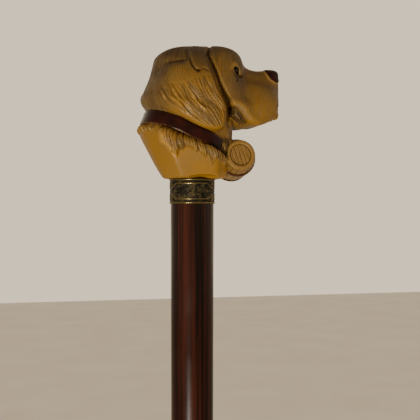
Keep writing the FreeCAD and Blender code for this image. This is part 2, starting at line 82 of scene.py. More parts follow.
def tube(rings):                           # quads between closed rings of the same count
    count = len(rings[0])
    return [(k * count + a, k * count + b, (k + 1) * count + b, (k + 1) * count + a)
            for k in range(len(rings) - 1) for a, b in zip(range(count), [*range(1, count), 0])]


def closedTube(rings):                     # the same, with the last ring joined to the first
    total = len(rings) * len(rings[0])
    return [tuple(p % total for p in face) for face in tube(rings + rings[:1])]


def circle(count):                         # the turns of a ring's points
    return np.linspace(0, 2 * math.pi, count, endpoint=False)


def ringAt(radius, turn, height, centre=(0, 0)):
    return np.stack([centre[0] + radius * np.cos(turn), centre[1] + radius * np.sin(turn),
                     height + 0 * turn], 1)


def spun(outline, count, centre=(0, 0)):   # a closed outline of (radius, height), turned round Z
    rings = [ringAt(radius, circle(count), height, centre) for radius, height in outline]
    return np.vstack(rings), closedTube(rings)


# materials

def newMaterial(name, **values):
    material = bpy.data.materials.new(name)
    material.use_nodes = True
    shader = material.node_tree.nodes["Principled BSDF"]
    for key, value in values.items():
        shader.inputs[key.replace("_", " ")].default_value = value
    return material, material.node_tree, shader


def srgb(red, green, blue):
    return [((c / 255 + 0.055) / 1.055) ** 2.4 if c > 10 else c / 255 / 12.92
            for c in (red, green, blue)] + [1.0]


def addNode(tree, kind, plugs=None, **settings):
    node = tree.nodes.new("ShaderNode" + kind)
    for key, value in settings.items():
        setattr(node, key, value)
    for key, value in (plugs or {}).items():
        if isinstance(value, bpy.types.NodeSocket):
            tree.links.new(value, node.inputs[key])
        else:
            node.inputs[key].default_value = value
    return node


def mixed(tree, factor, first, second):
    return addNode(tree, "Mix", {0: factor, 6: first, 7: second}, data_type="RGBA").outputs[2]


def worked(tree, operation, first, second, clamp=False):
    return addNode(tree, "Math", {0: first, 1: second}, operation=operation, use_clamp=clamp).outputs[0]


def ranged(tree, value, low, high, toLow=0.0, toHigh=1.0):
    return addNode(tree, "MapRange", {"Value": value, "From Min": low, "From Max": high,
                                      "To Min": toLow, "To Max": toHigh}).outputs[0]


def speckle(tree, vector, scale, detail=3.0, rough=0.55, stretch=None):
    if stretch:
        vector = addNode(tree, "Mapping", {"Vector": vector, "Scale": stretch}).outputs[0]
    return addNode(tree, "TexNoise", {"Vector": vector, "Scale": scale, "Detail": detail,
                                      "Roughness": rough}).outputs["Fac"]


def place(tree, output="Object"):
    return addNode(tree, "TexCoord").outputs[output]


def kept(tree, name, output="Fac"):        # what keep() left at the points
    return addNode(tree, "Attribute", attribute_name=name).outputs[output]


def split(tree, vector):
    return addNode(tree, "SeparateXYZ", {0: vector}).outputs


def wire(tree, shader, **sockets):
    for key, socket in sockets.items():
        tree.links.new(socket, shader.inputs[key.replace("_", " ")])


def roughened(tree, shader, height, strength, distance):
    bump = addNode(tree, "Bump", {"Height": height, "Strength": strength, "Distance": distance})
    wire(tree, shader, Normal=bump.outputs[0])


def mottledMaterial(name, dark, light, scale, blend=(0.35, 0.7), rough=None, bump=None, detail=3.0,
                    stretch=None, **values):
    # two tones with noise between them; blend is where one goes over into the other, rough the
    # range of roughness, and bump the scale, detail, strength and depth of a finer relief
    material, tree, shader = newMaterial(name, **values)
    spot = place(tree)
    noise = speckle(tree, spot, scale, detail, 0.6 if stretch else 0.55, stretch)
    wire(tree, shader, Base_Color=mixed(tree, ranged(tree, noise, *blend), srgb(*dark), srgb(*light)))
    if rough:
        wire(tree, shader, Roughness=ranged(tree, noise, 0.3, 0.7, *rough))
    if bump:
        roughened(tree, shader, speckle(tree, spot, *bump[:2]), *bump[2:])
    return material


# colours of the casting: recess is the dark of brown washes and of painted shade in hollows, and the pale
# one is for rubbing and for painted highlights on ridges and crests
castingTint = {
    "amber": (112, 78, 11), "brown": (58, 41, 18), "olive": (92, 71, 32),
    "recess": (44, 25, 8), "crease": (34, 19, 6), "wearAndHighlight": (178, 136, 66),
}


def castingMaterial():
    material, tree, shader = newMaterial("amber resin with brown washes, painted shade and highlight", Specular_IOR_Level=0.18)
    tint = {name: srgb(*parts) for name, parts in castingTint.items()}
    # the kept numbers: the dark of brown washes and painted shade, the pale of rubbing and painted
    # highlight, and the brown colour
    dark, bright, brown = split(tree, kept(tree, "shadeHighlightBrown", "Vector"))
    hairy = kept(tree, "hairy")
    flow = kept(tree, "hairFlow", "Vector")
    hair = speckle(tree, flow, 1.0, 2.0, 0.6, (2.6, 0.16, 1.0))
    fine = speckle(tree, flow, 1.0, 2.0, 0.6, (6.0, 0.35, 1.0))
    broad = speckle(tree, flow, 1.0, 1.0, 0.5, (0.45, 0.12, 1.0))
    blotch = speckle(tree, place(tree), 120.0, 3.0)
    # a thin dark line in each groove between locks, partly brown washes and partly painted shade, and
    # lighter ones between hairs
    line = ranged(tree, worked(tree, "PINGPONG", split(tree, flow)[0], 0.5), 0.08, 0.015)
    line = worked(tree, "MULTIPLY", line, ranged(tree, broad, 0.36, 0.54, 0.15, 1.0))
    hairLine = worked(tree, "MULTIPLY", ranged(tree, hair, 0.47, 0.36), 0.55)
    line = worked(tree, "MULTIPLY", worked(tree, "MAXIMUM", line, hairLine), hairy)
    colour = mixed(tree, brown, tint["amber"], tint["brown"])
    dull = worked(tree, "MULTIPLY", hairy, ranged(tree, broad, 0.42, 0.62, 0.0, 0.7))
    wearAndHighlight = worked(tree, "MULTIPLY", bright, ranged(tree, fine, 0.40, 0.62, 0.05, 0.7))
    for factor, name in ((ranged(tree, blotch, 0.35, 0.7, 0.0, 0.45), "olive"), (dull, "olive"),
                         (worked(tree, "MULTIPLY", line, 0.85), "crease"),
                         (worked(tree, "MULTIPLY", dark, 0.9), "recess"), (wearAndHighlight, "wearAndHighlight")):
        colour = mixed(tree, factor, colour, tint[name])
    rough = worked(tree, "ADD", ranged(tree, dark, 0.0, 1.0, 0.42, 0.62),
                   ranged(tree, hairy, 0.0, 0.6, 0.1, 0.0))
    rough = worked(tree, "SUBTRACT", rough, worked(tree, "MULTIPLY", bright, 0.17))
    wire(tree, shader, Base_Color=colour, Roughness=rough)
    grain = worked(tree, "SUBTRACT", worked(tree, "ADD", hair, fine), line)
    pits = worked(tree, "MULTIPLY", speckle(tree, place(tree), 1100.0, 3.0),
                  ranged(tree, hairy, 0.0, 1.0, 0.1, 0.4))
    grain = worked(tree, "ADD", worked(tree, "MULTIPLY", grain, hairy), pits)
    roughened(tree, shader, grain, 0.5, 0.0004)
    return material


resin = castingMaterial()


def smoothRows(rows, steps):
    # rows between rows, on a Catmull-Rom curve
    rows = np.asarray(rows, float)
    padded = np.vstack([2 * rows[0] - rows[1], rows, 2 * rows[-1] - rows[-2]])
    out = []
    for k in range(len(rows) - 1):
        a, b, c, d = padded[k:k + 4]
        for t in np.linspace(0, 1, steps, endpoint=False):
            out.append(0.5 * (2 * b + (c - a) * t + (2 * a - 5 * b + 4 * c - d) * t ** 2
                              + (3 * b - a - 3 * c + d) * t ** 3))
    return np.array(out + [rows[-1]])


# The casting is sculpted as a distance field, half of it, and mirrored.
clay = {
    "pitch": 0.4,        # mm between the field's points
    "start": (-78, 0, -7),   # first point of the half field, in pitches
    "points": (196, 66, 178),
    "band": 14,          # pitches on each side of a surface where distances are true
}
pitch = clay["pitch"]
xs, ys, zs = [(clay["start"][k] + np.arange(clay["points"][k])) * pitch for k in range(3)]
gridX, gridY, gridZ = np.meshgrid(xs, ys, zs, indexing="ij", sparse=True)
sideX, sideZ = np.meshgrid(xs, zs, indexing="ij")


def fieldOf(points, triangles, quads):
    scale = openvdb.createLinearTransform(voxelSize=pitch)
    level = openvdb.FloatGrid.createLevelSetFromPolygons(
        np.asarray(points, np.float32), triangles=np.asarray(triangles, np.uint32),
        quads=np.asarray(quads, np.uint32), transform=scale, halfWidth=clay["band"])
    field = np.empty(clay["points"], np.float32)
    level.copyToArray(field, ijk=clay["start"])
    return field


def loftField(sections):
    rings, count = len(sections), len(sections[0])
    points = np.vstack(list(sections) + [[s.mean(axis=0)] for s in (sections[0], sections[-1])])
    first, top = rings * count, (rings - 1) * count
    triangles = [(first, (a + 1) % count, a) for a in range(count)]
    triangles += [(first + 1, top + a, top + (a + 1) % count) for a in range(count)]
    return fieldOf(points, triangles, tube(sections))


def oval(back, front, backWidth, frontWidth, softness, count=140):
    # a squared oval ring from back to front, with a half width at each end
    turn = np.linspace(0, 2 * math.pi, count, endpoint=False)
    ahead = np.sign(np.cos(turn)) * np.abs(np.cos(turn)) ** softness
    aside = np.sign(np.sin(turn)) * np.abs(np.sin(turn)) ** softness
    back, front = np.array(back, float), np.array(front, float)
    ring = (back + front) / 2 + np.outer(ahead, (front - back) / 2)
    ring[:, 1] += aside * (backWidth * (1 - ahead) + frontWidth * (1 + ahead)) / 2
    return ring


def tiltedField(rows, softness, steps=6):
    return loftField([oval((r[0], 0, r[1]), (r[2], 0, r[3]), r[4], r[5], softness)
                      for r in smoothRows(rows, steps)])


def forwardField(rows, softness, steps=6):
    return loftField([oval((r[0], 0, r[1]), (r[0], 0, r[2]), r[3], r[4], softness)
                      for r in smoothRows(rows, steps)])


def lump(centre, radii, turnY=0):
    # an ellipsoid's field; turnY tips it nose down, in degrees
    x, y, z = gridX - centre[0], gridY - centre[1], gridZ - centre[2]
    c, s = math.cos(math.radians(turnY)), math.sin(math.radians(turnY))
    x, z = c * x - s * z, s * x + c * z
    a = np.sqrt((x / radii[0]) ** 2 + (y / radii[1]) ** 2 + (z / radii[2]) ** 2)
    b = np.sqrt((x / radii[0] ** 2) ** 2 + (y / radii[1] ** 2) ** 2 + (z / radii[2] ** 2) ** 2)
    return (a * (a - 1) / np.maximum(b, 1e-6)).astype(np.float32)


def roll(path, radii):
    # a soft roll along a path of points, with a radius at each
    path, radii = smoothRows(path, 5), smoothRows([[r] for r in radii], 5)[:, 0]
    field = None
    for (a, b), (ra, rb) in zip(zip(path, path[1:]), zip(radii, radii[1:])):
        step = b - a
        along = ((gridX - a[0]) * step[0] + (gridY - a[1]) * step[1] + (gridZ - a[2]) * step[2])
        along = np.clip(along / max(step @ step, 1e-9), 0, 1)
        away = np.sqrt((gridX - a[0] - along * step[0]) ** 2 + (gridY - a[1] - along * step[1]) ** 2
                       + (gridZ - a[2] - along * step[2]) ** 2) - (ra + (rb - ra) * along)
        field = away if field is None else np.minimum(field, away)
    return field.astype(np.float32)


def join(a, b, soft):
    h = np.clip(0.5 + 0.5 * (b - a) / soft, 0, 1)
    return b * (1 - h) + a * h - soft * h * (1 - h)


def carve(a, b, soft):
    return -join(-a, b, soft)


def bothSides(field):
    return np.ascontiguousarray(np.concatenate([field[:, :0:-1], field], axis=1), dtype=np.float32)


def meshOf(field):
    # points and quads of a whole field's surface, in millimetres
    level = openvdb.FloatGrid(3.0)
    level.copyFromArray(field, ijk=(clay["start"][0], 1 - clay["points"][1], clay["start"][2]))
    level.transform = openvdb.createLinearTransform(voxelSize=pitch)
    return level.convertToQuads(isovalue=0.0)


def trueDistance(field):
    # the same surface with true distances round it
    points, quads = meshOf(bothSides(field))
    return fieldOf(points, np.zeros((0, 3)), quads)


def smoothstep(low, high, value):
    t = np.clip((value - low) / (high - low), 0, 1)
    return t * t * (3 - 2 * t)


def blurred(field, sigma):
    # a Gaussian blur, sigma in millimetres
    reach = int(math.ceil(2.5 * sigma / pitch))
    weights = np.exp(-0.5 * (np.arange(-reach, reach + 1) * pitch / sigma) ** 2)
    weights /= weights.sum()
    for axis in range(field.ndim):
        pad = [(reach, reach) if k == axis else (0, 0) for k in range(field.ndim)]
        wide = np.pad(field, pad, mode="edge")
        out = np.zeros_like(field)
        for k, w in enumerate(weights):
            cut = [slice(None)] * field.ndim
            cut[axis] = slice(k, k + field.shape[axis])
            out += np.float32(w) * wide[tuple(cut)]
        field = out
    return field


def pathDistance(px, pz, path, closed=False):
    # distance of points from a path; a closed one's is positive inside and negative outside
    best = np.full(px.shape, 1e9)
    inside = np.zeros(px.shape, bool)
    pairs = list(zip(path, path[1:])) + ([(path[-1], path[0])] if closed else [])
    for a, b in pairs:
        dx, dz = b[0] - a[0], b[1] - a[1]
        t = np.clip(((px - a[0]) * dx + (pz - a[1]) * dz) / (dx * dx + dz * dz + 1e-9), 0, 1)
        best = np.minimum(best, np.hypot(px - a[0] - t * dx, pz - a[1] - t * dz))
        if closed:
            crosses = (a[1] > pz) != (b[1] > pz)
            at = a[0] + (pz - a[1]) / (dz if abs(dz) > 1e-9 else 1e-9) * dx
            inside ^= crosses & (px < at)
    return np.where(inside, best, -best) if closed else best


def sideDistance(path, steps=1, closed=False):
    # the same for the side view's points and a path that is smoothed first
    rows = smoothRows(path + path[:1] if closed else path, steps)
    return pathDistance(sideX, sideZ, rows[:-1] if closed else rows, closed)


head = {
    # back x, back z, front x, front z, half width at the back and at the front
    "bust": [(-14.3, -0.0, 15.8, -0.0, 14.0, 14.0), (-18.6, 7.3, 16.5, 2.6, 16.7, 16.2),
             (-25.1, 19.9, 17.9, 7.9, 20.3, 19.6), (-26.7, 23.9, 17.6, 9.9, 20.6, 19.9),
             (-25.6, 25.6, 16.6, 10.9, 19.4, 18.9)],
    "flats": [(0, 0.28), (0.20, 1.0), (0.78, 1.0), (1, 0.45)],
    "neck": [(-26.2, 24.5, 16.1, 7.9, 19.2, 19.0), (-23.3, 30.4, 16.5, 13.2, 19.0, 18.6),
             (-22.6, 35.1, 18.0, 17.9, 19.1, 18.4), (-24.4, 39.7, 19.2, 26.5, 19.4, 18.1)],
    "skull": [(-21.0, 33.6, 17.2, 19.9, 17.0, 16.0), (-24.9, 37.0, 19.4, 23.8, 19.4, 17.0),
              (-25.2, 40.4, 21.5, 30.5, 20.0, 16.3), (-21.6, 49.0, 23.7, 41.0, 20.4, 14.6),
              (-20.0, 54.9, 24.8, 50.3, 19.8, 12.6), (-18.5, 59.6, 24.0, 57.6, 16.9, 11.8),
              (-14.3, 63.0, 21.0, 62.6, 11.8, 9.6), (-8.6, 65.0, 15.5, 64.8, 7.4, 6.4),
              (-2.2, 65.8, 9.0, 65.7, 2.5, 2.5)],
    # x, bottom z, top z, half width at the bottom and at the top
    "muzzle": [(9.0, 44.0, 54.0, 10.0, 7.0), (16.5, 38.0, 56.0, 12.2, 6.8),
               (22.2, 31.8, 56.3, 12.6, 6.8), (26.5, 27.6, 56.0, 12.6, 7.1),
               (32.3, 27.3, 55.0, 12.3, 7.2), (37.0, 28.6, 55.4, 11.3, 6.8),
               (40.2, 30.0, 55.6, 9.6, 6.1), (42.4, 31.2, 55.4, 7.4, 5.2), (43.8, 33.0, 54.8, 4.8, 4.2),
               (44.5, 36.5, 53.5, 2.2, 2.2)],
    "jaw": [(8.0, 29.5, 43.0, 9.5, 10.0), (17.2, 25.8, 41.0, 10.2, 10.8), (22.9, 24.9, 39.7, 9.8, 10.3),
            (31.5, 26.9, 37.7, 8.3, 8.8), (38.5, 28.8, 36.5, 6.4, 6.8), (42.6, 31.2, 35.0, 3.6, 3.6)],
    "ear": [(7.0, 64.6), (5.2, 61.5), (2.9, 58.8), (4.0, 54.8), (5.4, 50.7), (6.5, 47.2), (7.7, 43.6),
            (9.2, 40.7), (11.4, 37.5), (12.9, 34.6), (13.5, 31.6), (13.2, 28.4), (12.2, 25.3),
            (10.2, 23.2), (6.1, 22.4), (0.0, 23.7), (-6.1, 26.6), (-12.1, 29.8), (-17.6, 32.9),
            (-20.6, 35.6), (-21.6, 39.6), (-21.4, 44.0), (-20.4, 48.5), (-18.3, 52.0), (-15.6, 54.4),
            (-12.6, 55.4), (-9.6, 55.3), (-6.6, 56.5), (-5.0, 60.0), (-3.5, 64.0), (1.0, 66.0)],
    "groove": [(8.3, 66.5), (6.6, 63.8), (4.9, 60.5), (5.8, 57.7), (6.9, 54.4), (8.1, 51.5), (9.2, 48.5),
               (10.2, 45.5), (11.2, 43.1), (12.6, 40.2), (14.6, 37.2), (15.6, 34.8), (15.8, 31.0),
               (15.0, 26.0)],
    "groove width": ([28, 33, 38, 42, 46, 56, 66], [1.4, 1.8, 2.6, 1.7, 1.4, 1.2, 1.1]),   # by height
    "groove depth": ([24, 30, 36, 44, 58, 66], [0.0, 1.4, 2.6, 1.9, 1.4, 0.6]),
    # centre, radii, degrees tipped nose down, added or taken away, softness
    "upper lumps": [
        ((12.9, 4.4, 58.2), (11.4, 7.8, 7.4), 0, join, 3.0),       # forehead
        ((18.9, 8.2, 57.2), (4.8, 3.4, 2.2), 12, join, 1.8),       # brow ridge
        ((12.5, 11.0, 45.0), (9.4, 5.5, 9.8), 0, join, 6.0),       # cheek
    ],
    "lower lumps": [
        ((29.6, 8.2, 37.0), (11.8, 5.0, 9.4), -6, join, 5.0),      # flew
        ((27.0, 15.8, 45.0), (3.4, 3.2, 7.0), 0, carve, 4.0),      # hollow beside the muzzle
        ((22.4, 13.6, 52.4), (4.0, 3.2, 3.4), 0, carve, 2.5),      # eye hollow
        ((19.6, 9.3, 53.0), (4.2, 3.4, 3.6), 0, join, 2.2),        # lids over the bead
    ],
    # folds and ridges: path, half width, depth (below 0 it is raised), dark of brown washes and painted
    # shade, rubbing and painted highlight, brown (below 0 paler), partly colouring and partly painted shade
    # and highlight
    "marks": [
        ([(-19.5, 50.0), (-18.0, 52.2), (-16.2, 54.2), (-13.8, 55.6), (-10.5, 55.4), (-8.6, 55.9)],
         2.2, 0.45, 0, 0, 0),
        ([(-5.0, 58.0), (-4.8, 55.8), (-4.5, 53.7), (-3.4, 52.0), (-2.2, 50.8), (-1.3, 51.0)],
         1.0, 1.1, 0.5, 0, 0),
        ([(-1.6, 50.9), (0.3, 52.0), (1.8, 51.9), (3.3, 51.1)], 0.8, 0.5, 0.3, 0, 0),
        ([(17.8, 34.8), (19.2, 33.8), (20.7, 32.2), (22.8, 29.4), (24.6, 27.6)], 0.8, 0.9, 0.45, 0, 0.5),
        ([(16.9, 31.0), (18.6, 30.4), (20.8, 28.7), (23.3, 26.5)], 0.6, 0.8, 0.9, 0, 0.3),
        ([(17.6, 33.0), (19.3, 31.9), (21.4, 30.0), (23.8, 27.2)], 1.6, 0.1, 0.1, 0, 0.9),
        ([(16.6, 34.4), (17.3, 33.0), (16.9, 31.4)], 1.3, 0.7, 1.2, 0, 0.5),
        ([(17.6, 36.8), (20.4, 36.4), (23.0, 34.7), (25.1, 31.6), (27.3, 29.0), (30.5, 27.6)],
         1.8, -0.2, 0, 0.15, -0.5),
        ([(20.2, 51.6), (21.2, 50.3), (22.6, 50.2)], 0.9, 0.7, 0.8, 0, 0),
        ([(18.6, 50.4), (19.4, 49.2), (19.2, 47.6)], 0.9, 0.4, 0.6, 0, 0),
        ([(21.5, 53.2), (22.0, 51.8), (23.2, 51.0)], 0.9, -0.12, 0, 0, 0.5),
        ([(16.6, 54.2), (17.6, 55.4), (18.8, 56.2)], 1.6, -0.15, 0, 0.3, -0.7),
        ([(36.2, 54.6), (37.6, 51.6), (38.5, 50.2), (41.2, 48.8), (43.0, 49.3)], 0.9, -0.3, 0, 0.8, 0),
        ([(41.2, 36.6), (42.6, 36.0), (43.8, 36.4)], 0.6, 0.5, 0.7, 0, 0),
        ([(9.5, 56.0), (15.5, 53.0)], 6.0, 0, 0, 0, -0.6),
        ([(15.0, 60.8), (19.5, 58.6)], 2.6, 0, 0, 0, 0.3),
        ([(22.6, 56.4), (23.8, 55.4), (24.4, 53.8)], 1.1, 0.25, 0.3, 0, 0.5),
    ],
    "strap top": [(-32.0, 35.1), (-22.2, 32.8), (-17.2, 31.4), (-10.0, 28.8), (-3.6, 25.5), (5.0, 22.2),
                  (10.0, 19.5), (21.5, 12.6)],
}


def bustField():
    rows = smoothRows(head["bust"], 1)
    rings = []
    for backX, backZ, frontX, frontZ, backWidth, frontWidth in rows:
        side = [((backX + (frontX - backX) * a), (backWidth + (frontWidth - backWidth) * a) * w,
                 backZ + (frontZ - backZ) * a) for a, w in head["flats"]]
        ring = np.array(side + [(x, -y, z) for x, y, z in reversed(side)])
        rings.append(ring)
    return blurred(loftField(rings), 1.0)


def strapLine(x, shift=0.0):
    # height of the strap's upper edge at x, shifted square to its slope
    line = np.array(head["strap top"])
    return np.interp(x, line[:, 0], line[:, 1]) - shift * 1.14


# the keg is drawn about its own Z axis, its near end at +Z, and laid across the throat
keg = {
    "centre": (21.51, 0.0, 9.47), "tilt": 9.6, "length": 27.0,
    "endRadius": 7.3, "bellyRadius": 9.4, "staves": 18, "rim": 1.95, "recess": 0.8,
    "plankPitch": 1.9, "plankAngle": 17.0,
    "hoopOffset": 6.5, "hoopWidth": 2.2, "hoopThickness": 0.5, "around": 180,
    # shares of the hoop's width and thickness, and wear
    "hoop": [(-0.5, 0.0, 0), (-0.5, 0.6, 0.1), (-0.36, 0.9, 0.25), (-0.12, 1.0, 0.1), (0.12, 1.0, 0.1),
             (0.36, 0.9, 0.25), (0.5, 0.6, 0.1), (0.5, 0.0, 0)],
    "linkRadius": 1.6, "linkWire": 0.6, "linkSpread": 9.0, "linkAngle": 131.0,
}
kegPlace = Matrix.Translation(keg["centre"]) @ Matrix.Rotation(math.radians(90 - keg["tilt"]), 4, "X")
rise = keg["bellyRadius"] - keg["endRadius"]
staveRadius = ((keg["length"] / 2) ** 2 + rise ** 2) / (2 * rise)


def kegRadius(along):
    return keg["bellyRadius"] - staveRadius + np.sqrt(staveRadius ** 2 - np.asarray(along) ** 2)


print("sculpting the casting")
bust = carve(bustField(), lump((3.0, 14.0, 0.0), (7.8, 4.6, 1.8)), 0.3)   # arches in the base's edge
neck = tiltedField(head["neck"], 0.85)
skull = tiltedField(head["skull"], 0.85)
muzzle = forwardField(head["muzzle"], 0.62)
jaw = forwardField(head["jaw"], 0.75)

form = join(skull, neck, 3.0)
for centre, radii, tip, change, soft in head["upper lumps"]:
    form = change(form, lump(centre, radii, tip), soft)
form = join(form, muzzle, 5.0)
for centre, radii, tip, change, soft in head["lower lumps"]:
    form = change(form, lump(centre, radii, tip), soft)
lip = roll([(17.2, 11.4, 37.2), (20.2, 11.8, 36.6), (22.9, 11.6, 34.6), (25.1, 11.0, 31.8),
            (27.8, 10.2, 29.8), (31.0, 9.2, 29.2)], (1.5, 2.4, 2.5, 2.1, 1.7, 1.0))
form = join(form, lip, 3.5)
form = join(form, lump((42.2, 3.8, 32.4), (1.8, 1.9, 2.4)), 1.0)          # chin
fold = roll([(15.8, 10.2, 33.4), (18.6, 10.8, 32.4), (21.6, 10.7, 29.8), (26.0, 9.4, 27.2)],
            (0.9, 1.15, 1.1, 0.6))
form = join(form, join(jaw, fold, 0.8), 0.4)

# the hair under the ear is filled out, so that the ear hangs as one smooth flap
earSide = sideDistance(head["ear"], 3, closed=True)
inside = form < 0
outermost = clay["points"][1] - 1 - np.argmax(inside[:, ::-1, :], axis=1)
outer = np.where(inside.any(axis=1), ys[np.clip(outermost, 0, None)] + pitch / 2, 0).astype(np.float32)
under = np.maximum(blurred(outer, 3.4), blurred(outer, 1.6) - 0.4)
fill = np.maximum(0.8 - earSide, (sideZ - 56) * 0.7)[:, None, :]
fill = np.maximum((gridY - under[:, None, :]) * 0.9, fill)
form = join(form, fill.astype(np.float32), 1.5)
form = trueDistance(form)

# the ear is thin at its root and thick along its front and lower edge
towardsBack = smoothstep(-7.0, -19.0, sideX)
rim = 1.9 + 5.5 * towardsBack
flap = np.sqrt(np.clip(1 - (1 - np.clip(earSide / rim, 0, 1)) ** 2, 0, 1))
thickness = 3.5 * smoothstep(66.0, 46.0, sideZ) * (1 - 0.45 * towardsBack) + 0.5
flap = blurred((flap * thickness).astype(np.float32), 0.3)[:, None, :]
form = form - flap * smoothstep(4.0, 9.0, gridY)

# groove between ear and face, from the crown to the corner of the mouth
width = np.interp(sideZ, *head["groove width"])
depth = np.interp(sideZ, *head["groove depth"])
groove = np.clip(1 - (sideDistance(head["groove"], 3) / width) ** 2, 0, 1) ** 1.5
form = form + (depth * groove)[:, None, :]

# folds and ridges at the ear's root, the mouth, the eye and the nostril, with the painted shade, highlight
# and browning along them
relief, washAndShadeMark, rubAndHighlightMark, brownMark = np.zeros((4,) + sideX.shape)
for path, halfWidth, deep, washedAndShaded, wearAndHighlight, browned in head["marks"]:
    near = np.clip(1 - (sideDistance(path, 4) / halfWidth) ** 2, 0, 1) ** 1.5
    near *= np.where(sideX < -3.0, smoothstep(59.0, 56.0, sideZ), 1.0)
    relief += deep * near
    washAndShadeMark = np.maximum(washAndShadeMark, washedAndShaded * near)
    rubAndHighlightMark = np.maximum(rubAndHighlightMark, wearAndHighlight * near)
    brownMark += browned * near
beside = smoothstep(0, 2.5, gridY - np.interp(gridX, [26, 34], [7.0, 2.5]))      # only on the sides
form = form + (relief[:, None, :] * beside).astype(np.float32)

# the opening between the lids, an upright almond
opening = [(18.7, 54.9), (19.8, 54.9), (20.6, 53.4), (20.9, 51.8), (19.9, 51.2), (18.7, 52.5),
           (18.1, 54.0)]
slot = -sideDistance(opening, 3, closed=True)[:, None, :]
form = carve(form, np.maximum(slot, (9.5 - gridY)).astype(np.float32), 0.5)

# pocket at the corner of the mouth, the parting of the lips in front, and two rolls at the throat
form = carve(form, lump((17.0, 14.2, 33.0), (1.9, 5.4, 2.7), -28), 0.5)
form = carve(form, roll([(46.0, 0.0, 48.0), (45.0, 0.0, 42.0), (44.6, 0.0, 36.5)], (0.9, 0.7, 0.9)), 0.5)
form = carve(form, roll([(45.4, 0.0, 36.6), (45.4, 3.4, 34.6), (44.4, 6.8, 32.4), (41.0, 10.6, 30.0)],
                        (0.8, 0.7, 0.6, 0.4)), 0.5)
for path in ([(13.0, 7.0, 30.0), (15.6, 7.4, 26.0), (16.8, 7.2, 22.0), (16.6, 6.0, 18.5)],
             [(9.0, 13.0, 29.0), (12.5, 12.6, 25.0), (14.6, 11.0, 21.0), (14.4, 10.0, 18.0)]):
    form = join(form, roll(path, (1.0, 1.8, 1.9, 1.4)), 0.9)

# ruff: a layer of hair on the bust, ending in tips; angles run round the neck from the nape
ruffLine = np.array([
    (0, 22.5), (10, 24.0), (14, 21.8), (20, 23.8), (25, 22.3), (30, 24.2), (35, 24.0), (39, 22.8),
    (44, 20.0), (47, 15.8), (50, 12.4), (54, 11.6), (58.2, 9.8), (60, 12.6), (62.4, 13.6), (65, 13.0),
    (68, 14.6), (72.6, 14.4), (77.6, 13.7), (83, 12.0), (85.6, 13.5), (90, 11.4), (96.4, 9.5),
    (98.2, 11.7), (102, 9.7), (108.4, 6.2), (110.8, 9.0), (114.5, 9.2), (119, 7.4), (121, 9.3),
    (126, 6.6), (129, 8.9), (135, 6.0), (139, 8.4), (146, 5.8), (150, 8.2), (158, 5.6), (163, 7.8),
    (172, 5.2), (180, 7.0)])
flatX, flatY = np.meshgrid(xs, ys, indexing="ij")
angle = np.degrees(np.arctan2(flatY, -flatX))
lowEdge = np.interp(angle, ruffLine[:, 0], ruffLine[:, 1])[:, :, None]
edgeHeight = gridZ - lowEdge
ruff = 0.55 * smoothstep(-0.2, 0.4, edgeHeight) + 0.75 * smoothstep(0.0, 2.6, edgeHeight)
bust = trueDistance(bust) - ruff.astype(np.float32)
underStrap = gridZ - strapLine(gridX, 6.2)     # the bust ends where the strap begins
bust = np.maximum(bust, underStrap.astype(np.float32) * 0.93)

strapBand = np.maximum(gridZ - strapLine(gridX, -0.1), strapLine(gridX, 6.3) - gridZ) * 0.93
strapRoom = np.maximum(neck - 1.5, strapBand.astype(np.float32))
form = join(np.maximum(form, -strapRoom), neck, 0.3)
saddle = join(lump((12.3, 11.8, 15.2), (2.6, 4.6, 3.8)), lump((16.6, 8.0, 16.6), (3.4, 4.4, 3.4)), 2.0)
form = join(form, saddle, 1.6)                 # lump that carries the keg, over the strap's front end
whole = bothSides(join(form, bust, 0.3))

# seats for the keg and the stud
wholeY = (np.arange(whole.shape[1]) + 1 - clay["points"][1])[None, :, None] * pitch
toKeg = np.array(kegPlace.inverted())
kegX, kegY, kegZ = [row[0] * gridX + row[1] * wholeY + row[2] * gridZ + row[3] for row in toKeg[:3]]
kegForm = np.hypot(kegX, kegY) - kegRadius(np.clip(kegZ, -14, 14))
kegForm = np.maximum(kegForm, np.abs(kegZ) - keg["length"] / 2)
whole = np.maximum(whole, (0.15 - kegForm).astype(np.float32))
studTop = (np.array(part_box("joining_stud")[1]) - (0, 0, baseHeight)) * 1000
studForm = np.maximum(np.hypot(gridX, wholeY) - studTop[0], gridZ - studTop[2])
whole = np.maximum(whole, (0.1 - studForm).astype(np.float32))

# nose: a wedge on the end of the muzzle, whose lower edge slants forward
wedge = np.maximum((36.8 - gridX) * 0.894 + (55.2 - gridZ) * 0.447,
                   (38.9 - gridX) * 0.474 + (51.0 - gridZ) * 0.880)
wedge = np.maximum(np.maximum(wedge, 49.2 - gridZ), gridY - 6.6).astype(np.float32)
noseField = -join(-(form - 0.45), -wedge, 1.0)
whole = np.maximum(whole, -bothSides(noseField) + 0.1)
noseField = carve(noseField, lump((44.7, 3.1, 51.9), (1.3, 1.5, 0.9), 20), 0.5)
cleft = roll([(45.9, 0.0, 54.0), (45.4, 0.0, 52.0), (45.0, 0.0, 49.0)], (0.4, 0.6, 0.5))
noseField = carve(noseField, cleft, 0.4)
print("form ready")


def sampled(field, points, start):         # values of a field at points
    at = points / pitch - np.array(start)
    low = np.clip(np.floor(at).astype(int), 0, np.array(field.shape) - 2)
    part = at - low
    total = 0.0
    for corner in np.ndindex((2,) * field.ndim):
        weight = np.prod(np.where(corner, part, 1 - part), axis=1)
        total = total + weight * field[tuple((low + corner).T)]
    return total


def atSide(values, px, pz):                # a picture of the side view read at points
    return sampled(values, np.stack([px, pz], 1), clay["start"][::2])


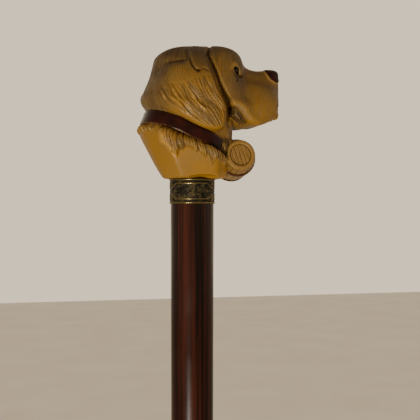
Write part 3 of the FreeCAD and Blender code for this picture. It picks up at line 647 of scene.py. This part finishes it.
def lattice(a, b, seed):                   # smooth noise between -1 and 1
    values = np.random.default_rng(seed).uniform(-1, 1, (64, 64))
    ia, ib = np.floor(a).astype(int), np.floor(b).astype(int)
    fa, fb = a - ia, b - ib
    fa, fb = fa * fa * (3 - 2 * fa), fb * fb * (3 - 2 * fb)
    ia, ib = ia % 64, ib % 64
    ja, jb = (ia + 1) % 64, (ib + 1) % 64
    return ((values[ia, ib] * (1 - fa) + values[ja, ib] * fa) * (1 - fb)
            + (values[ia, jb] * (1 - fa) + values[ja, jb] * fa) * fb)


def lanes(across, along, kind):
    # the place across locks of hair, 1 for each lock, bent so that locks widen, narrow and wander
    width, seed, bend = hair[kind]
    return across / width + bend * lattice(across / width * 0.35 + 9, along / 9, seed) \
        + 0.5 * bend * lattice(across / width * 0.9 + 9, along / 4, seed + 1)


def lockHeight(lane, along, kind, grooveFrom=0.7):
    # from -1 in the groove between two locks to 1 on a crest
    number = np.floor(lane)
    off = np.abs(lane - number - 0.5) * 2
    crest = 0.4 + 0.6 * lattice(number * 7.3 + 0.5, along / 12, hair[kind][1] + 2)
    crest = crest * (1 - (off / grooveFrom) ** 2)
    return np.where(off > grooveFrom, -smoothstep(grooveFrom, 1.0, off), crest)


wholeStart = (clay["start"][0], 1 - clay["points"][1], clay["start"][2])
points, quads = meshOf(whole)
points = np.array(points, float)
x, y, z = points.T
side = np.abs(y)
normals = np.zeros_like(points)
corner = points[quads]
faceNormals = np.cross(corner[:, 2] - corner[:, 0], corner[:, 3] - corner[:, 1])
for k in range(4):
    np.add.at(normals, quads[:, k], faceNormals)
normals /= np.maximum(np.linalg.norm(normals, axis=1, keepdims=True), 1e-9)
if np.sum(normals * (points - points.mean(axis=0))) < 0:
    normals = -normals
    quads = quads[:, ::-1]

hair = {
    # mm across a lock, seed and bend
    "ear": (1.55, 11, 0.6), "ear waves": (4.2, 15, 0.45), "ruff": (1.25, 31, 0.35),
    "face": (0.9, 61, 0.3), "front": (0.9, 91, 0.3),
    # mm from the middle height of a lock to its crest
    "ear height": 0.24, "ear waves height": 0.20, "ruff height": 0.36, "parting depth": 0.4,
    "face height": 0.08,
    # how far the tufts of the ruff lean forward, in degrees, by the degrees round the neck
    "tuft lean": ([0, 50, 70, 100, 180], [0, 2, 8, 20, 24]),
    "ruff radius": 20.5, "ruff middle": 12,
    # lines that the ear's hair follows, in the side view, and the usual mm between them
    "guide gap": 5.6,
    "guides": [
        [(-19.9, 48.0), (-19.7, 44.8), (-18.7, 40.7), (-17.1, 37.3), (-15.0, 34.4), (-12.3, 31.9),
         (-8.7, 29.3), (-5.1, 26.8)],
        [(-15.0, 51.0), (-14.5, 47.3), (-12.7, 43.8), (-10.9, 40.7), (-8.8, 37.2), (-6.1, 34.1),
         (-3.1, 30.9), (0.3, 27.8), (3.6, 25.0)],
        [(-9.6, 53.5), (-8.8, 48.7), (-7.3, 45.2), (-5.8, 42.0), (-3.7, 38.9), (-0.9, 35.7),
         (1.8, 32.8), (4.5, 30.2), (7.6, 25.5)],
        [(-3.6, 54.5), (-3.2, 49.3), (-1.9, 45.5), (-0.2, 42.3), (1.6, 39.1), (3.7, 36.2),
         (5.9, 33.6), (8.0, 30.7), (10.4, 25.0)],
        [(2.2, 58.0), (3.2, 50.0), (4.6, 46.5), (6.0, 43.3), (7.7, 40.4), (9.5, 37.4),
         (11.1, 34.5), (12.0, 31.2), (12.4, 26.5)],
    ],
}


def guideGrid(guides, between=26, along=90):
    rows = []
    for guide in guides:
        path = smoothRows(guide, 10)
        length = np.concatenate([[0], np.cumsum(np.hypot(*np.diff(path, axis=0).T))])
        at = np.linspace(0, length[-1], along)
        rows.append(np.stack([np.interp(at, length, path[:, 0]), np.interp(at, length, path[:, 1]), at], 1))
    rows = np.array(rows)
    rows = np.concatenate([[2 * rows[0] - rows[1]], rows, [2 * rows[-1] - rows[-2]]])
    steps = np.arange((len(rows) - 1) * between + 1) / between
    return np.array([[np.interp(steps, np.arange(len(rows)), rows[:, j, k]) for j in range(along)]
                     for k in range(3)]).transpose(2, 1, 0), steps - 1


grid, gridStep = guideGrid(hair["guides"])


def alongGuides(px, pz):
    # where a point of the side view lies among the guides: across them and along them, in mm
    tree = kdtree.KDTree(grid.shape[0] * grid.shape[1])
    flat = grid.reshape(-1, 3)
    for k, row in enumerate(flat):
        tree.insert((row[0], row[1], 0), k)
    tree.balance()
    found = np.array([tree.find((a, b, 0))[1] for a, b in zip(px, pz)])
    i, j = np.divmod(found, grid.shape[1])
    i = np.clip(i, 1, grid.shape[0] - 2)
    j = np.clip(j, 1, grid.shape[1] - 2)
    here = grid[i, j]
    acrossStep = (grid[i + 1, j] - grid[i - 1, j]) / 2
    alongStep = (grid[i, j + 1] - grid[i, j - 1]) / 2
    dx, dz = px - here[:, 0], pz - here[:, 1]
    det = acrossStep[:, 0] * alongStep[:, 1] - acrossStep[:, 1] * alongStep[:, 0]
    di = (dx * alongStep[:, 1] - dz * alongStep[:, 0]) / det
    dj = (dz * acrossStep[:, 0] - dx * acrossStep[:, 1]) / det
    across = (gridStep[i] + di * (gridStep[1] - gridStep[0])) * hair["guide gap"]
    return across, here[:, 2] + dj * alongStep[:, 2]


earInside = atSide(earSide, x, z)
onEar = smoothstep(0.0, 0.9, earInside) * smoothstep(5.0, 8.0, side)
acrossEar, alongEar = alongGuides(x, z)
turnRound = np.arctan2(y, -x)
onBust = (z < strapLine(x, 3.0)).astype(float)
edge = z - np.interp(np.degrees(np.abs(turnRound)), ruffLine[:, 0], ruffLine[:, 1])
onRuff = smoothstep(-0.6, 0.6, edge) * onBust


def acrossTufts(degrees, height):          # mm round the neck, along a tuft's own lean
    slant = np.tan(np.radians(np.interp(degrees, *hair["tuft lean"])))
    return np.radians(degrees) * hair["ruff radius"] + (height - hair["ruff middle"]) * slant


acrossRuff = acrossTufts(np.degrees(np.abs(turnRound)), z)
lineHeight = ruffLine[:, 1]
notches = ruffLine[1:-1][(lineHeight[1:-1] > lineHeight[:-2]) & (lineHeight[1:-1] >= lineHeight[2:])]
fromNotch = np.abs(acrossRuff[:, None] - acrossTufts(notches[:, 0], notches[:, 1])[None]).min(axis=1)
parting = np.exp(-(fromNotch / 0.5) ** 2) * onRuff         # the gaps between tufts
onFace = (1 - onBust) * (1 - onEar)
hairStart = 49.0 - 4.5 * smoothstep(3.0, -12.0, x)        # the ear's long hair starts below its root
combed = smoothstep(hairStart + 2.0, hairStart - 2.5, z)
smoothRim = smoothstep(1.2, 2.6, earInside) * combed    # and stops at a smooth rim
earLane = lanes(acrossEar, alongEar, "ear")
ruffLane = lanes(acrossRuff, z, "ruff")
roundHead = np.where(x > -3, x + 3, -18 * np.arctan2(-3 - x, np.maximum(side, 0.3)))
faceAlong = z + side * (x > -3)
faceLane = lanes(roundHead + 0.25 * lattice(roundHead / 6 + 20, z / 5, 51), faceAlong, "face")
faceDepth = hair["face height"] + 0.08 * smoothstep(6, -8, x) * smoothstep(40, 52, z) \
    + 0.02 * onEar - 0.03 * smoothstep(8, 24, x)
facing = smoothstep(0.50, 0.80, np.maximum(normals[:, 0], normals[:, 2])) * smoothstep(-6, 0, x)
facing *= 1 - onEar
frontLane = lanes(y, z - x, "front")             # over brow and bridge the hair runs back
earHair = onEar * smoothRim
waves = lockHeight(lanes(acrossEar, alongEar, "ear waves"), alongEar, "ear waves", 0.5)
strands = earHair * hair["ear height"] * lockHeight(earLane, alongEar, "ear")
strands += earHair * hair["ear waves height"] * waves
strands += onRuff * hair["ruff height"] * lockHeight(ruffLane, z, "ruff")
strands -= hair["parting depth"] * parting
aroundFace = (onFace + onEar * (1 - combed)) * (1 - facing)
strands += aroundFace * faceDepth * lockHeight(faceLane, z, "face")
strands += onFace * faceDepth * facing * lockHeight(frontLane, z - x, "front")

points = points + normals * strands[:, None]
crown = (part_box("dog_head")[1][2] - baseHeight) * 1000
points[:, 2] = np.minimum(points[:, 2], crown - 0.01)      # no hair above the head's own box

# painted shade in hollows, from how much of the form lies round each point, which also stands for brown
# washes there
solid = np.clip(0.5 - whole / pitch, 0, 1)
hollow = sampled(blurred(solid, 0.9), points, wholeStart) - 0.5
deepHollow = sampled(blurred(solid, 2.2), points, wholeStart) - 0.5
washAndShade = np.clip(0.7 * smoothstep(0.04, 0.26, hollow) + 0.6 * smoothstep(0.08, 0.30, deepHollow), 0, 1)
# painted highlights on ridges and on the crests of the ear's locks and the ruff's tufts, partly standing
# for rubbing too
rubAndHighlight = smoothstep(0.03, 0.20, -hollow) * (0.35 + 0.65 * np.maximum(earHair, onRuff))
rubAndHighlight = np.maximum(rubAndHighlight, earHair * smoothstep(0.12, 0.30, strands))
tuftHighlight = (0.72 - 0.35 * smoothstep(0, 12, x)) * onRuff * smoothstep(0.10, 0.26, strands)
rubAndHighlight = np.maximum(rubAndHighlight * (1 - 0.5 * onRuff), tuftHighlight)
# a painted highlight along the back edge of the first tuft, and none where there is painted shade
tuftEdge = sideDistance([(-19.3, 22.4), (-18.7, 17.9), (-16.3, 15.3), (-12.3, 10.2)])
tuftEdge = np.exp(-(tuftEdge / 0.6) ** 2)
rubAndHighlight = np.clip(np.maximum(rubAndHighlight, atSide(tuftEdge, x, z) * onBust), 0, 1) * (1 - washAndShade)
# browner upwards, towards the back and on the muzzle: partly the dog's own colouring, partly painted shade
ahead = smoothstep(9, 15, x)
brown = (1 - ahead) * (0.10 + 0.90 * smoothstep(43, 61, z) + 0.75 * smoothstep(-11, -19, x)) \
    + ahead * (0.22 + 0.40 * smoothstep(30, 52, z) + 0.3 * np.exp(-((x - 20) / 6) ** 2))
beside = (1 - onBust) * smoothstep(0, 2.5, side - np.interp(x, [26, 34], [7.0, 2.5]))
washAndShade = np.maximum(washAndShade, atSide(washAndShadeMark, x, z) * beside)
# painted shade in the partings between tufts
washAndShade = np.maximum(washAndShade, (0.45 + 0.25 * smoothstep(0, 8, x)) * parting)
rubAndHighlight = rubAndHighlight * (1 - parting)
# painted light on the front of the bust beside the keg
rubAndHighlight = np.maximum(rubAndHighlight, 0.35 * onBust * (1 - onRuff) * smoothstep(9, 14, x))
rubAndHighlight = np.maximum(rubAndHighlight, atSide(rubAndHighlightMark, x, z) * beside)
# painted shade on the throat beside the keg, as brown
shadeBesideKeg = np.exp(-((x - 14.2) / 2.6) ** 2 - ((z - 16.0) / 3.2) ** 2) * smoothstep(5, 7, side)
browned = atSide(brownMark, x, z) * beside + 0.9 * shadeBesideKeg
brown = brown * (1 - onBust) + (0.25 + 0.25 * smoothstep(0, 12, x)) * onRuff + browned
# painted shade: the bust browner towards its back
brown += onBust * (1 - onRuff) * 0.2 * smoothstep(-8, -18, x)
brown = np.clip(brown, 0, 1)
rubAndHighlight = rubAndHighlight * (1 - 0.9 * np.clip(browned, 0, 1))
hairy = np.clip(earHair * (0.75 + 0.25 * smoothstep(-12, -2, x)) + onRuff
                + (0.85 - 0.35 * smoothstep(8, 24, x)) * onFace + 0.45 * onEar * (1 - combed), 0, 1)
hairy *= 1 - 0.9 * onEar * np.exp(-((combed - 0.5) / 0.25) ** 2)      # where two kinds of hair meet
hairy *= 1 - 0.9 * onFace * np.exp(-((facing - 0.5) / 0.25) ** 2)
casting = addPiece("carvedHead", points, quads, resin, "dog_head", "head_resin")
keep(casting, "shadeHighlightBrown", np.stack([washAndShade, rubAndHighlight, brown], 1))
kinds = [onBust > 0.5, (onEar > 0.5) & (combed > 0.5), facing > 0.5]
acrossAll = np.select(kinds, [ruffLane, earLane, frontLane], faceLane)
alongAll = np.select(kinds, [z, alongEar, z - x], faceAlong)
keep(casting, "hairFlow", np.stack([acrossAll, alongAll, np.sign(y) * 9 + onBust * 30], 1))
keep(casting, "hairy", hairy)
print("carved head", len(points), "points")

# strap: a rounded band laid on the neck
strap = {
    "thickness": 1.35, "around": 200,
    "middle": -3.4,      # x of the neck's middle line
    # down from the upper edge, out from the neck in shares of thickness / 1.45, and wear
    "section": [(0.15, 0.1, 0), (0.0, 0.5, 0), (0.12, 0.95, 0.1), (0.45, 1.22, 0.1), (0.9, 1.35, 0),
                (2.0, 1.42, 0), (3.1, 1.45, 0), (4.2, 1.42, 0), (5.3, 1.35, 0), (5.75, 1.22, 0.3),
                (6.08, 0.95, 0.6), (6.2, 0.5, 0.5), (6.05, 0.1, 0.2)],
}


def strapMaterial(name, dark, light, gloss):
    material = mottledMaterial(name, dark, light, 160.0, detail=4.0, rough=(0.16, 0.34),
                               bump=(380.0, 3.0, 0.25, 0.0004), Specular_IOR_Level=gloss)
    tree = material.node_tree
    shader = tree.nodes["Principled BSDF"]
    base = shader.inputs["Base Color"].links[0].from_socket
    chips = ranged(tree, speckle(tree, place(tree), 500.0, 3.0), 0.36, 0.66)
    wearAndHighlight = worked(tree, "MULTIPLY", kept(tree, "worn"), chips)
    wire(tree, shader, Base_Color=mixed(tree, wearAndHighlight, base, srgb(120, 84, 46)))
    return material


def neckRadius(turn, shift, proud):
    # how far from the neck's middle line its surface, grown by proud, is met at a turn
    step = 0.25
    steps = np.arange(10.0, 34.0, step)
    radius = np.full(turn.shape, 20.0)
    row = np.arange(len(turn))
    for _ in range(5):                     # the strap slopes, so its height follows the radius
        height = strapLine(strap["middle"] - radius * np.cos(turn), shift)
        rays = np.stack([strap["middle"] - steps[None] * np.cos(turn)[:, None],
                         steps[None] * np.abs(np.sin(turn))[:, None],
                         np.repeat(height[:, None], len(steps), 1)], 2)
        values = sampled(neck, rays.reshape(-1, 3), clay["start"]).reshape(len(turn), -1) - proud
        out = np.clip(np.argmax(values > 0, axis=1), 1, len(steps) - 1)
        a, b = values[row, out - 1], values[row, out]
        radius = steps[out - 1] + step * np.clip(a / (a - b + 1e-9), 0, 1)
    return np.stack([strap["middle"] - radius * np.cos(turn), radius * np.sin(turn), height], 1)


turn = circle(strap["around"])
rings = [neckRadius(turn, shift, proud * strap["thickness"] / 1.45)
         for shift, proud, wear in strap["section"]]
band = addPiece("neckStrap", np.vstack(rings), closedTube(rings),
                strapMaterial("dark red enamel", (21, 4, 2), (39, 9, 4), 0.09), "neck_strap", "strap_red")
keep(band, "worn", np.repeat([wear for shift, proud, wear in strap["section"]], strap["around"]))
print("strap")

# nose: a glossy wedge on the end of the muzzle
noseEnamel = mottledMaterial("nose enamel", (22, 4, 2), (42, 10, 5), 300.0, rough=(0.26, 0.40),
                             bump=(900.0, 2.0, 0.2, 0.0002), Specular_IOR_Level=0.09)
addPiece("noseTip", *meshOf(bothSides(noseField)), noseEnamel, "nose", "nose_red")
print("nose")


def onKeg(points):
    turned = np.array(kegPlace)
    return np.asarray(points) @ turned[:3, :3].T + turned[:3, 3]


def kegMaterial():
    material, tree, shader = newMaterial("keg resin", Roughness=0.38, Specular_IOR_Level=0.22)
    dark, bright = split(tree, kept(tree, "shadeHighlightBrown", "Vector"))[:2]
    grain = speckle(tree, kept(tree, "hairFlow", "Vector"), 1.0, 3.0, 0.6, (2.2, 0.22, 2.2))
    base = mixed(tree, ranged(tree, grain, 0.35, 0.65), srgb(76, 56, 21), srgb(100, 74, 31))
    # dark in seams and hollows, partly dark joints and partly painted shade; pale on rims and stave
    # middles, rubbing and painted highlight
    base = mixed(tree, worked(tree, "MULTIPLY", dark, 0.9), base, srgb(36, 20, 6))
    wearAndHighlight = worked(tree, "MULTIPLY", bright, ranged(tree, grain, 0.4, 0.6, 0.35, 0.9))
    wire(tree, shader, Base_Color=mixed(tree, wearAndHighlight, base, srgb(150, 110, 46)))
    roughened(tree, shader, grain, 0.35, 0.0003)
    return material


def keepKegShadeAndGrain(piece, washAndShade, rubAndHighlight, flow):
    keep(piece, "shadeHighlightBrown", np.stack([washAndShade, rubAndHighlight, 0 * washAndShade], 1))
    keep(piece, "hairFlow", flow)


kegResin = kegMaterial()
half = keg["length"] / 2
turn = circle(keg["around"])
stave = np.abs((turn / (2 * math.pi) * keg["staves"]) % 1 - 0.5) * 2
seam = smoothstep(0.80, 1.0, stave)
endRadius, edgeIn, inset = keg["endRadius"], keg["endRadius"] - keg["rim"], keg["recess"] + 0.2
# rings of an end, from its middle over its rim: radius, depth below the end, the dark of painted shade in
# the recess, and the pale of rubbing and painted highlight on the rim
rim = [(0.4, inset, 0.6, 0), (edgeIn, inset, 0.5, 0), (edgeIn + 0.05, 0.45, 0.2, 0.2),
       (edgeIn + 0.25, 0.16, 0, 0.45), (edgeIn + 0.6, 0.02, 0, 0.45), (endRadius - 0.6, 0.02, 0, 0.35),
       (endRadius - 0.25, 0.12, 0, 0.35)]
levels = np.concatenate([[0.22 - half, 0.45 - half], np.linspace(0.8 - half, half - 0.8, 44),
                         [half - 0.45, half - 0.22]])
rows = [(radius, down - half, dark, bright) for radius, down, dark, bright in rim]
# at each level the seams between staves are darker and the staves' middles paler, a painted highlight
for level in levels:
    fromEnd = half - abs(level)
    near = min(1.0, fromEnd / 1.2)
    radius = kegRadius(level) - 0.16 * seam * near - 0.12 * max(0, 0.5 - fromEnd)
    rows.append((radius + 0.05 * (1 - stave ** 2) * near, level, 0.75 * seam * near + 0.1,
                 0.35 * (1 - seam) * (1 if near < 1 else 0.5)))
rows += [(radius, half - down, dark, bright) for radius, down, dark, bright in reversed(rim)]
rings = [ringAt(radius, turn, level) for radius, level, dark, bright in rows]
washAndShade, rubAndHighlight = [np.concatenate([np.broadcast_to(row[k], len(turn)) for row in rows]) for k in (2, 3)]
kegPoints = np.vstack(rings)
ends = [tuple(range(len(turn)))[::-1], tuple(range(len(kegPoints) - len(turn), len(kegPoints)))]
kegShell = addPiece("kegBody", onKeg(kegPoints), tube(rings) + ends, kegResin, "keg_body", "keg_resin")
keepKegShadeAndGrain(kegShell, washAndShade, rubAndHighlight, np.stack([np.tile(turn, len(rings)) * 9, *kegPoints[:, [2, 0]].T], 1))

hoopMaterial = strapMaterial("hoop enamel", (30, 6, 3), (50, 12, 6), 0.08)
for label, sign in (("near", 1), ("far", -1)):
    outline = []
    for share, height, wear in keg["hoop"]:
        level = sign * keg["hoopOffset"] + share * keg["hoopWidth"]
        outline.append((float(kegRadius(level)) + 0.04 + height * keg["hoopThickness"], level))
    hoopPoints, hoopFaces = spun(outline, 120)
    hoop = addPiece("kegHoop" + label.capitalize(), onKeg(hoopPoints), hoopFaces, hoopMaterial,
                    "keg_hoop_" + label, "strap_red")
    keep(hoop, "worn", np.repeat([wear for share, height, wear in keg["hoop"]], 120))

    # end board: planks with saw cuts between them; the last ring is its lower edge
    count, top, boardRadius = 144, half - keg["recess"], edgeIn - 0.06
    radii = boardRadius * np.linspace(0, 1, 36)[1:] ** 0.8
    planks = np.vstack([ringAt(radius, circle(count), 0) for radius in (*radii, boardRadius)]
                       + [np.zeros((1, 3))])
    lower = slice(len(radii) * count, len(planks) - 1)
    spin = math.radians(keg["plankAngle"] * sign)
    across = planks[:, 0] * math.cos(spin) + planks[:, 1] * math.sin(spin)
    along = planks[:, 1] * math.cos(spin) - planks[:, 0] * math.sin(spin)
    fromCut = 1 - np.abs(across / keg["plankPitch"] % 1 - 0.5) * 2       # 1 half way between two cuts
    cut = 1 - smoothstep(0.0, 0.5, fromCut)
    reach = np.hypot(planks[:, 0], planks[:, 1])
    lift = 0.05 * lattice(across * 2.0 + 20, along / 3 + 20, 71) - 0.2 * cut
    lift -= 0.1 * smoothstep(boardRadius - 0.4, boardRadius, reach)
    lift[lower] = -1.5
    planks[:, 2] = sign * (top + lift)
    # darker in the cuts between planks and, as painted shade, at the board's edge; paler on each plank's
    # middle, a painted highlight; the hidden lower edge all in painted shade
    washAndShade = np.clip(cut * 0.38 + 0.25 * smoothstep(boardRadius - 0.5, boardRadius, reach), 0, 1)
    rubAndHighlight = 0.5 * smoothstep(0.35, 0.5, fromCut) * (1 - smoothstep(0.5, 0.9, fromCut)) + 0.15
    washAndShade[lower], rubAndHighlight[lower] = 1, 0
    faces = tube(planks[:-1].reshape(-1, count, 3)) + [tuple(range(lower.start, lower.stop))[::-1]]
    faces += [(len(planks) - 1, (a + 1) % count, a) for a in range(count)]
    if sign > 0:
        faces = [face[::-1] for face in faces]
    board = addPiece("kegBoard" + label.capitalize(), onKeg(planks), faces, kegResin,
                     "keg_board_" + label, "keg_resin")
    keepKegShadeAndGrain(board, washAndShade, rubAndHighlight, np.stack([across, along, 0 * across], 1))


def brassMaterial(name, raised, dark):
    material, tree, shader = newMaterial(name, Specular_IOR_Level=0.08)
    spot = place(tree)
    mottle = ranged(tree, speckle(tree, spot, 420.0, 4.0), 0.35, 0.7, -0.2, 0.2)
    high = worked(tree, "ADD", kept(tree, "raised"), mottle, clamp=True)
    wire(tree, shader, Base_Color=mixed(tree, high, srgb(*dark), srgb(*raised)),
         Metallic=ranged(tree, high, 0.2, 0.7), Roughness=ranged(tree, high, 0.0, 1.0, 0.5, 0.25))
    roughened(tree, shader, speckle(tree, spot, 900.0, 3.0), 0.3, 0.0003)
    return material


linkBrass = brassMaterial("link brass", (170, 122, 62), (50, 30, 14))
for label, sign in (("near", 1), ("far", -1)):
    level, ringRadius, wireRadius = sign * keg["linkSpread"], keg["linkRadius"], keg["linkWire"]
    out = float(kegRadius(level)) + 0.05 + ringRadius + wireRadius
    lean = math.radians(keg["linkAngle"])
    outline = [(ringRadius + wireRadius * math.cos(a), level + wireRadius * math.sin(a))
               for a in circle(12)]
    linkPoints, linkFaces = spun(outline, 40, (out * math.cos(lean), out * math.sin(lean)))
    link = addPiece("kegLink" + label.capitalize(), onKeg(linkPoints), linkFaces, linkBrass,
                    "keg_link_" + label, "link_brass")
    keep(link, "raised", np.full(len(linkPoints), 0.8))
print("keg")

# collar: antiqued brass with raised borders round two panels
collar = {
    "radius": 11.1, "length": 12.4, "bead": 0.45, "bore": 9.95, "line": 0.24, "around": 480, "levels": 56,
    "facing": -104.0,    # turn of the first panel's middle, in degrees
    # along from a panel's middle, up from the middle of the height
    "border": [(0.0, 3.8), (7.9, 3.8), (8.6, 3.6), (10.2, 2.5), (11.4, 1.9), (12.4, 1.75), (13.3, 2.1),
               (13.9, 3.0), (14.2, 4.2), (14.3, 5.2)],
    "between": [(17.4, 4.4), (16.3, 4.0), (15.9, 2.9), (16.3, 1.8), (17.4, 1.4)],
    "leaf": [(11.2, 3.3), (12.2, 3.0), (12.8, 3.6), (12.4, 4.4), (11.4, 4.6)],
    "dots": [(8.5, 0.0), (9.7, 0.0), (13.2, 0.0), (17.4, 0.0), (17.4, 2.9)],
}
around, length = collar["around"], collar["length"]
turn = circle(around)
heights = np.linspace(0.0, length, collar["levels"])
turnGrid, upGrid = np.meshgrid(turn, heights)
fromSide = np.radians(np.abs((np.degrees(turnGrid) - collar["facing"] + 90) % 180 - 90)) * collar["radius"]
fromMiddle = np.abs(upGrid - length / 2)
away = np.minimum.reduce([pathDistance(fromSide, fromMiddle, smoothRows(collar[part], 4))
                          for part in ("border", "between", "leaf")])
rule = 1 - smoothstep(0.12, 0.36, away)
dots = sum(1 - smoothstep(0.15, 0.5, np.hypot(fromSide - a, fromMiddle - b)) for a, b in collar["dots"])
inner = smoothstep(12.0, 9.0, fromSide) * smoothstep(3.6, 3.1, fromMiddle)
ahead, up = turnGrid * collar["radius"] * 1.3, upGrid * 1.3
scrollAndSheen = np.abs(lattice(ahead + 30, up + 30, 81) + 0.5 * lattice(ahead * 2 + 30, up * 2 + 30, 82))
# the scroll work is strongest near each panel's middle, a painted sheen, and there it makes the brass paler
scrollAndSheen = (1 - smoothstep(0.0, 0.22, scrollAndSheen)) * inner * (0.3 + 0.7 * np.exp(-((fromSide - 1.2) / 2.6) ** 2))
fromEnd = np.minimum(upGrid, length - upGrid)
bead = np.sqrt(np.clip(1 - ((fromEnd - 0.5) / 0.5) ** 2, 0, 1))
gutter = np.exp(-((fromEnd - 1.15) / 0.16) ** 2)
radius = collar["radius"] + collar["bead"] * bead - 0.12 * gutter \
    + collar["line"] * np.clip(rule + 0.8 * dots, 0, 1) + 0.10 * scrollAndSheen
raised = np.clip(0.04 + 0.9 * bead + 0.9 * rule + 0.8 * dots + 0.55 * scrollAndSheen - gutter, 0, 1)
rings = [ringAt(row, turn, height - length) for row, height in zip(radius, heights)]
rings += [ringAt(collar["bore"], turn, level) for level in (0.0, -length)]
sleeve = addPiece("brassCollar", np.vstack(rings), closedTube(rings),
                  brassMaterial("antiqued brass", (106, 92, 58), (14, 12, 6)),
                  "brass_collar", "collar_brass")
keep(sleeve, "raised", np.append(raised.ravel(), np.zeros(2 * around)))
print("collar")


# finishes of the plain turned pieces, whose shapes stay as they are
def woodMaterial():
    material, tree, shader = newMaterial("stained wood under lacquer", Specular_IOR_Level=0.1)
    spot = place(tree)
    warp = speckle(tree, spot, 40.0, 3.0)
    streaks = speckle(tree, spot, 1.0, 5.0, 0.6, (420.0, 420.0, 9.0))
    broad = speckle(tree, spot, 1.0, 3.0, 0.5, (150.0, 150.0, 4.0))
    pores = speckle(tree, spot, 1.0, 3.0, 0.7, (1500.0, 1500.0, 40.0))
    base = mixed(tree, ranged(tree, streaks, 0.38, 0.62), srgb(14, 5, 3), srgb(48, 19, 10))
    base = mixed(tree, ranged(tree, broad, 0.45, 0.68, 0.0, 0.7), base, srgb(10, 4, 3))
    base = mixed(tree, ranged(tree, pores, 0.55, 0.72, 0.0, 0.55), base, srgb(7, 3, 2))
    wire(tree, shader, Base_Color=base, Roughness=ranged(tree, warp, 0.3, 0.7, 0.16, 0.3))
    roughened(tree, shader, streaks, 0.08, 0.0003)
    return material


finishes = {
    "shaft": woodMaterial(),
    "rubber_ferrule": mottledMaterial(
        "moulded rubber", (24, 24, 24), (52, 50, 48), 260.0, blend=(0.45, 0.75), detail=4.0,
        rough=(0.62, 0.85), bump=(1400.0, 2.0, 0.3, 0.0002)),
}
for nodeName in ("ferrule_washer", "joining_stud"):
    finishes[nodeName] = mottledMaterial(
        "turned steel", (150, 150, 152), (196, 196, 198), 1.0, blend=(0.0, 1.0),
        stretch=(90.0, 90.0, 2400.0), rough=(0.24, 0.42), Metallic=1.0)
for nodeName in ("eye_left", "eye_right"):
    finishes[nodeName] = mottledMaterial(
        "eye bead", (7, 4, 3), (20, 9, 5), 600.0, blend=(0.4, 0.7), detail=2.0, rough=(0.36, 0.5),
        Specular_IOR_Level=0.08)
for nodeName, material in finishes.items():
    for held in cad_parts[nodeName].material_slots:
        held.material = material
print("finishes")

# floor, light and camera
stage = {
    "floor": 14.0,
    "camera": (-14.0, 0.0, 0.400),         # azimuth, elevation and distance from the aim
    "aim": (0.00864, -0.00215, 0.8329), "span": 0.210,
}
cloth = mottledMaterial("pale floor", (232, 222, 206), (240, 232, 218), 3.0, blend=(0.3, 0.7),
                        Roughness=0.8)
size = stage["floor"] / 2
ground = addMesh("floor", [(-size, -size, 0), (size, -size, 0), (size, size, 0), (-size, size, 0)],
                 [(0, 1, 2, 3)], cloth, smooth=False)


def aimed(name, data, azimuth, elevation, distance):       # an object that looks at the aim
    a, e = math.radians(azimuth), math.radians(elevation)
    towards = Vector((math.sin(a) * math.cos(e), -math.cos(a) * math.cos(e), math.sin(e)))
    holder = bpy.data.objects.new(name, data)
    bpy.context.scene.collection.objects.link(holder)
    holder.location = Vector(stage["aim"]) + towards * distance
    holder.rotation_euler = towards.to_track_quat("Z", "Y").to_euler()
    return holder


def lamp(name, azimuth, elevation, distance, size, power, colour):
    light = bpy.data.lights.new(name, "AREA")
    light.size, light.energy, light.color = size, power, colour
    aimed(name, light, azimuth, elevation, distance)


lamp("keyLight", -32, -30, 0.75, 0.06, 9.0, (1.0, 0.94, 0.84))
lamp("softLight", -60, 0, 1.1, 0.8, 0.5, (1.0, 0.97, 0.92))
lamp("rightLight", 70, 15, 1.2, 0.8, 0.9, (1.0, 0.95, 0.90))

world = bpy.data.worlds.new("paleStudio")
world.use_nodes = True
sky = world.node_tree                                   # pale walls under a dimmer ceiling
wall = sky.nodes["Background"]
upward = split(sky, place(sky, "Generated"))[2]
wire(sky, wall, Color=mixed(sky, ranged(sky, upward, 0.25, 0.8), srgb(246, 228, 200), srgb(168, 156, 142)))
wall.inputs["Strength"].default_value = 1.2
bpy.context.scene.world = world

camera = aimed("camera", bpy.data.cameras.new("camera"), *stage["camera"])
camera.data.sensor_width = 36
camera.data.lens = 36 * stage["camera"][2] / stage["span"]
camera.data.clip_start = 0.01
bpy.context.scene.camera = camera
print("stage")
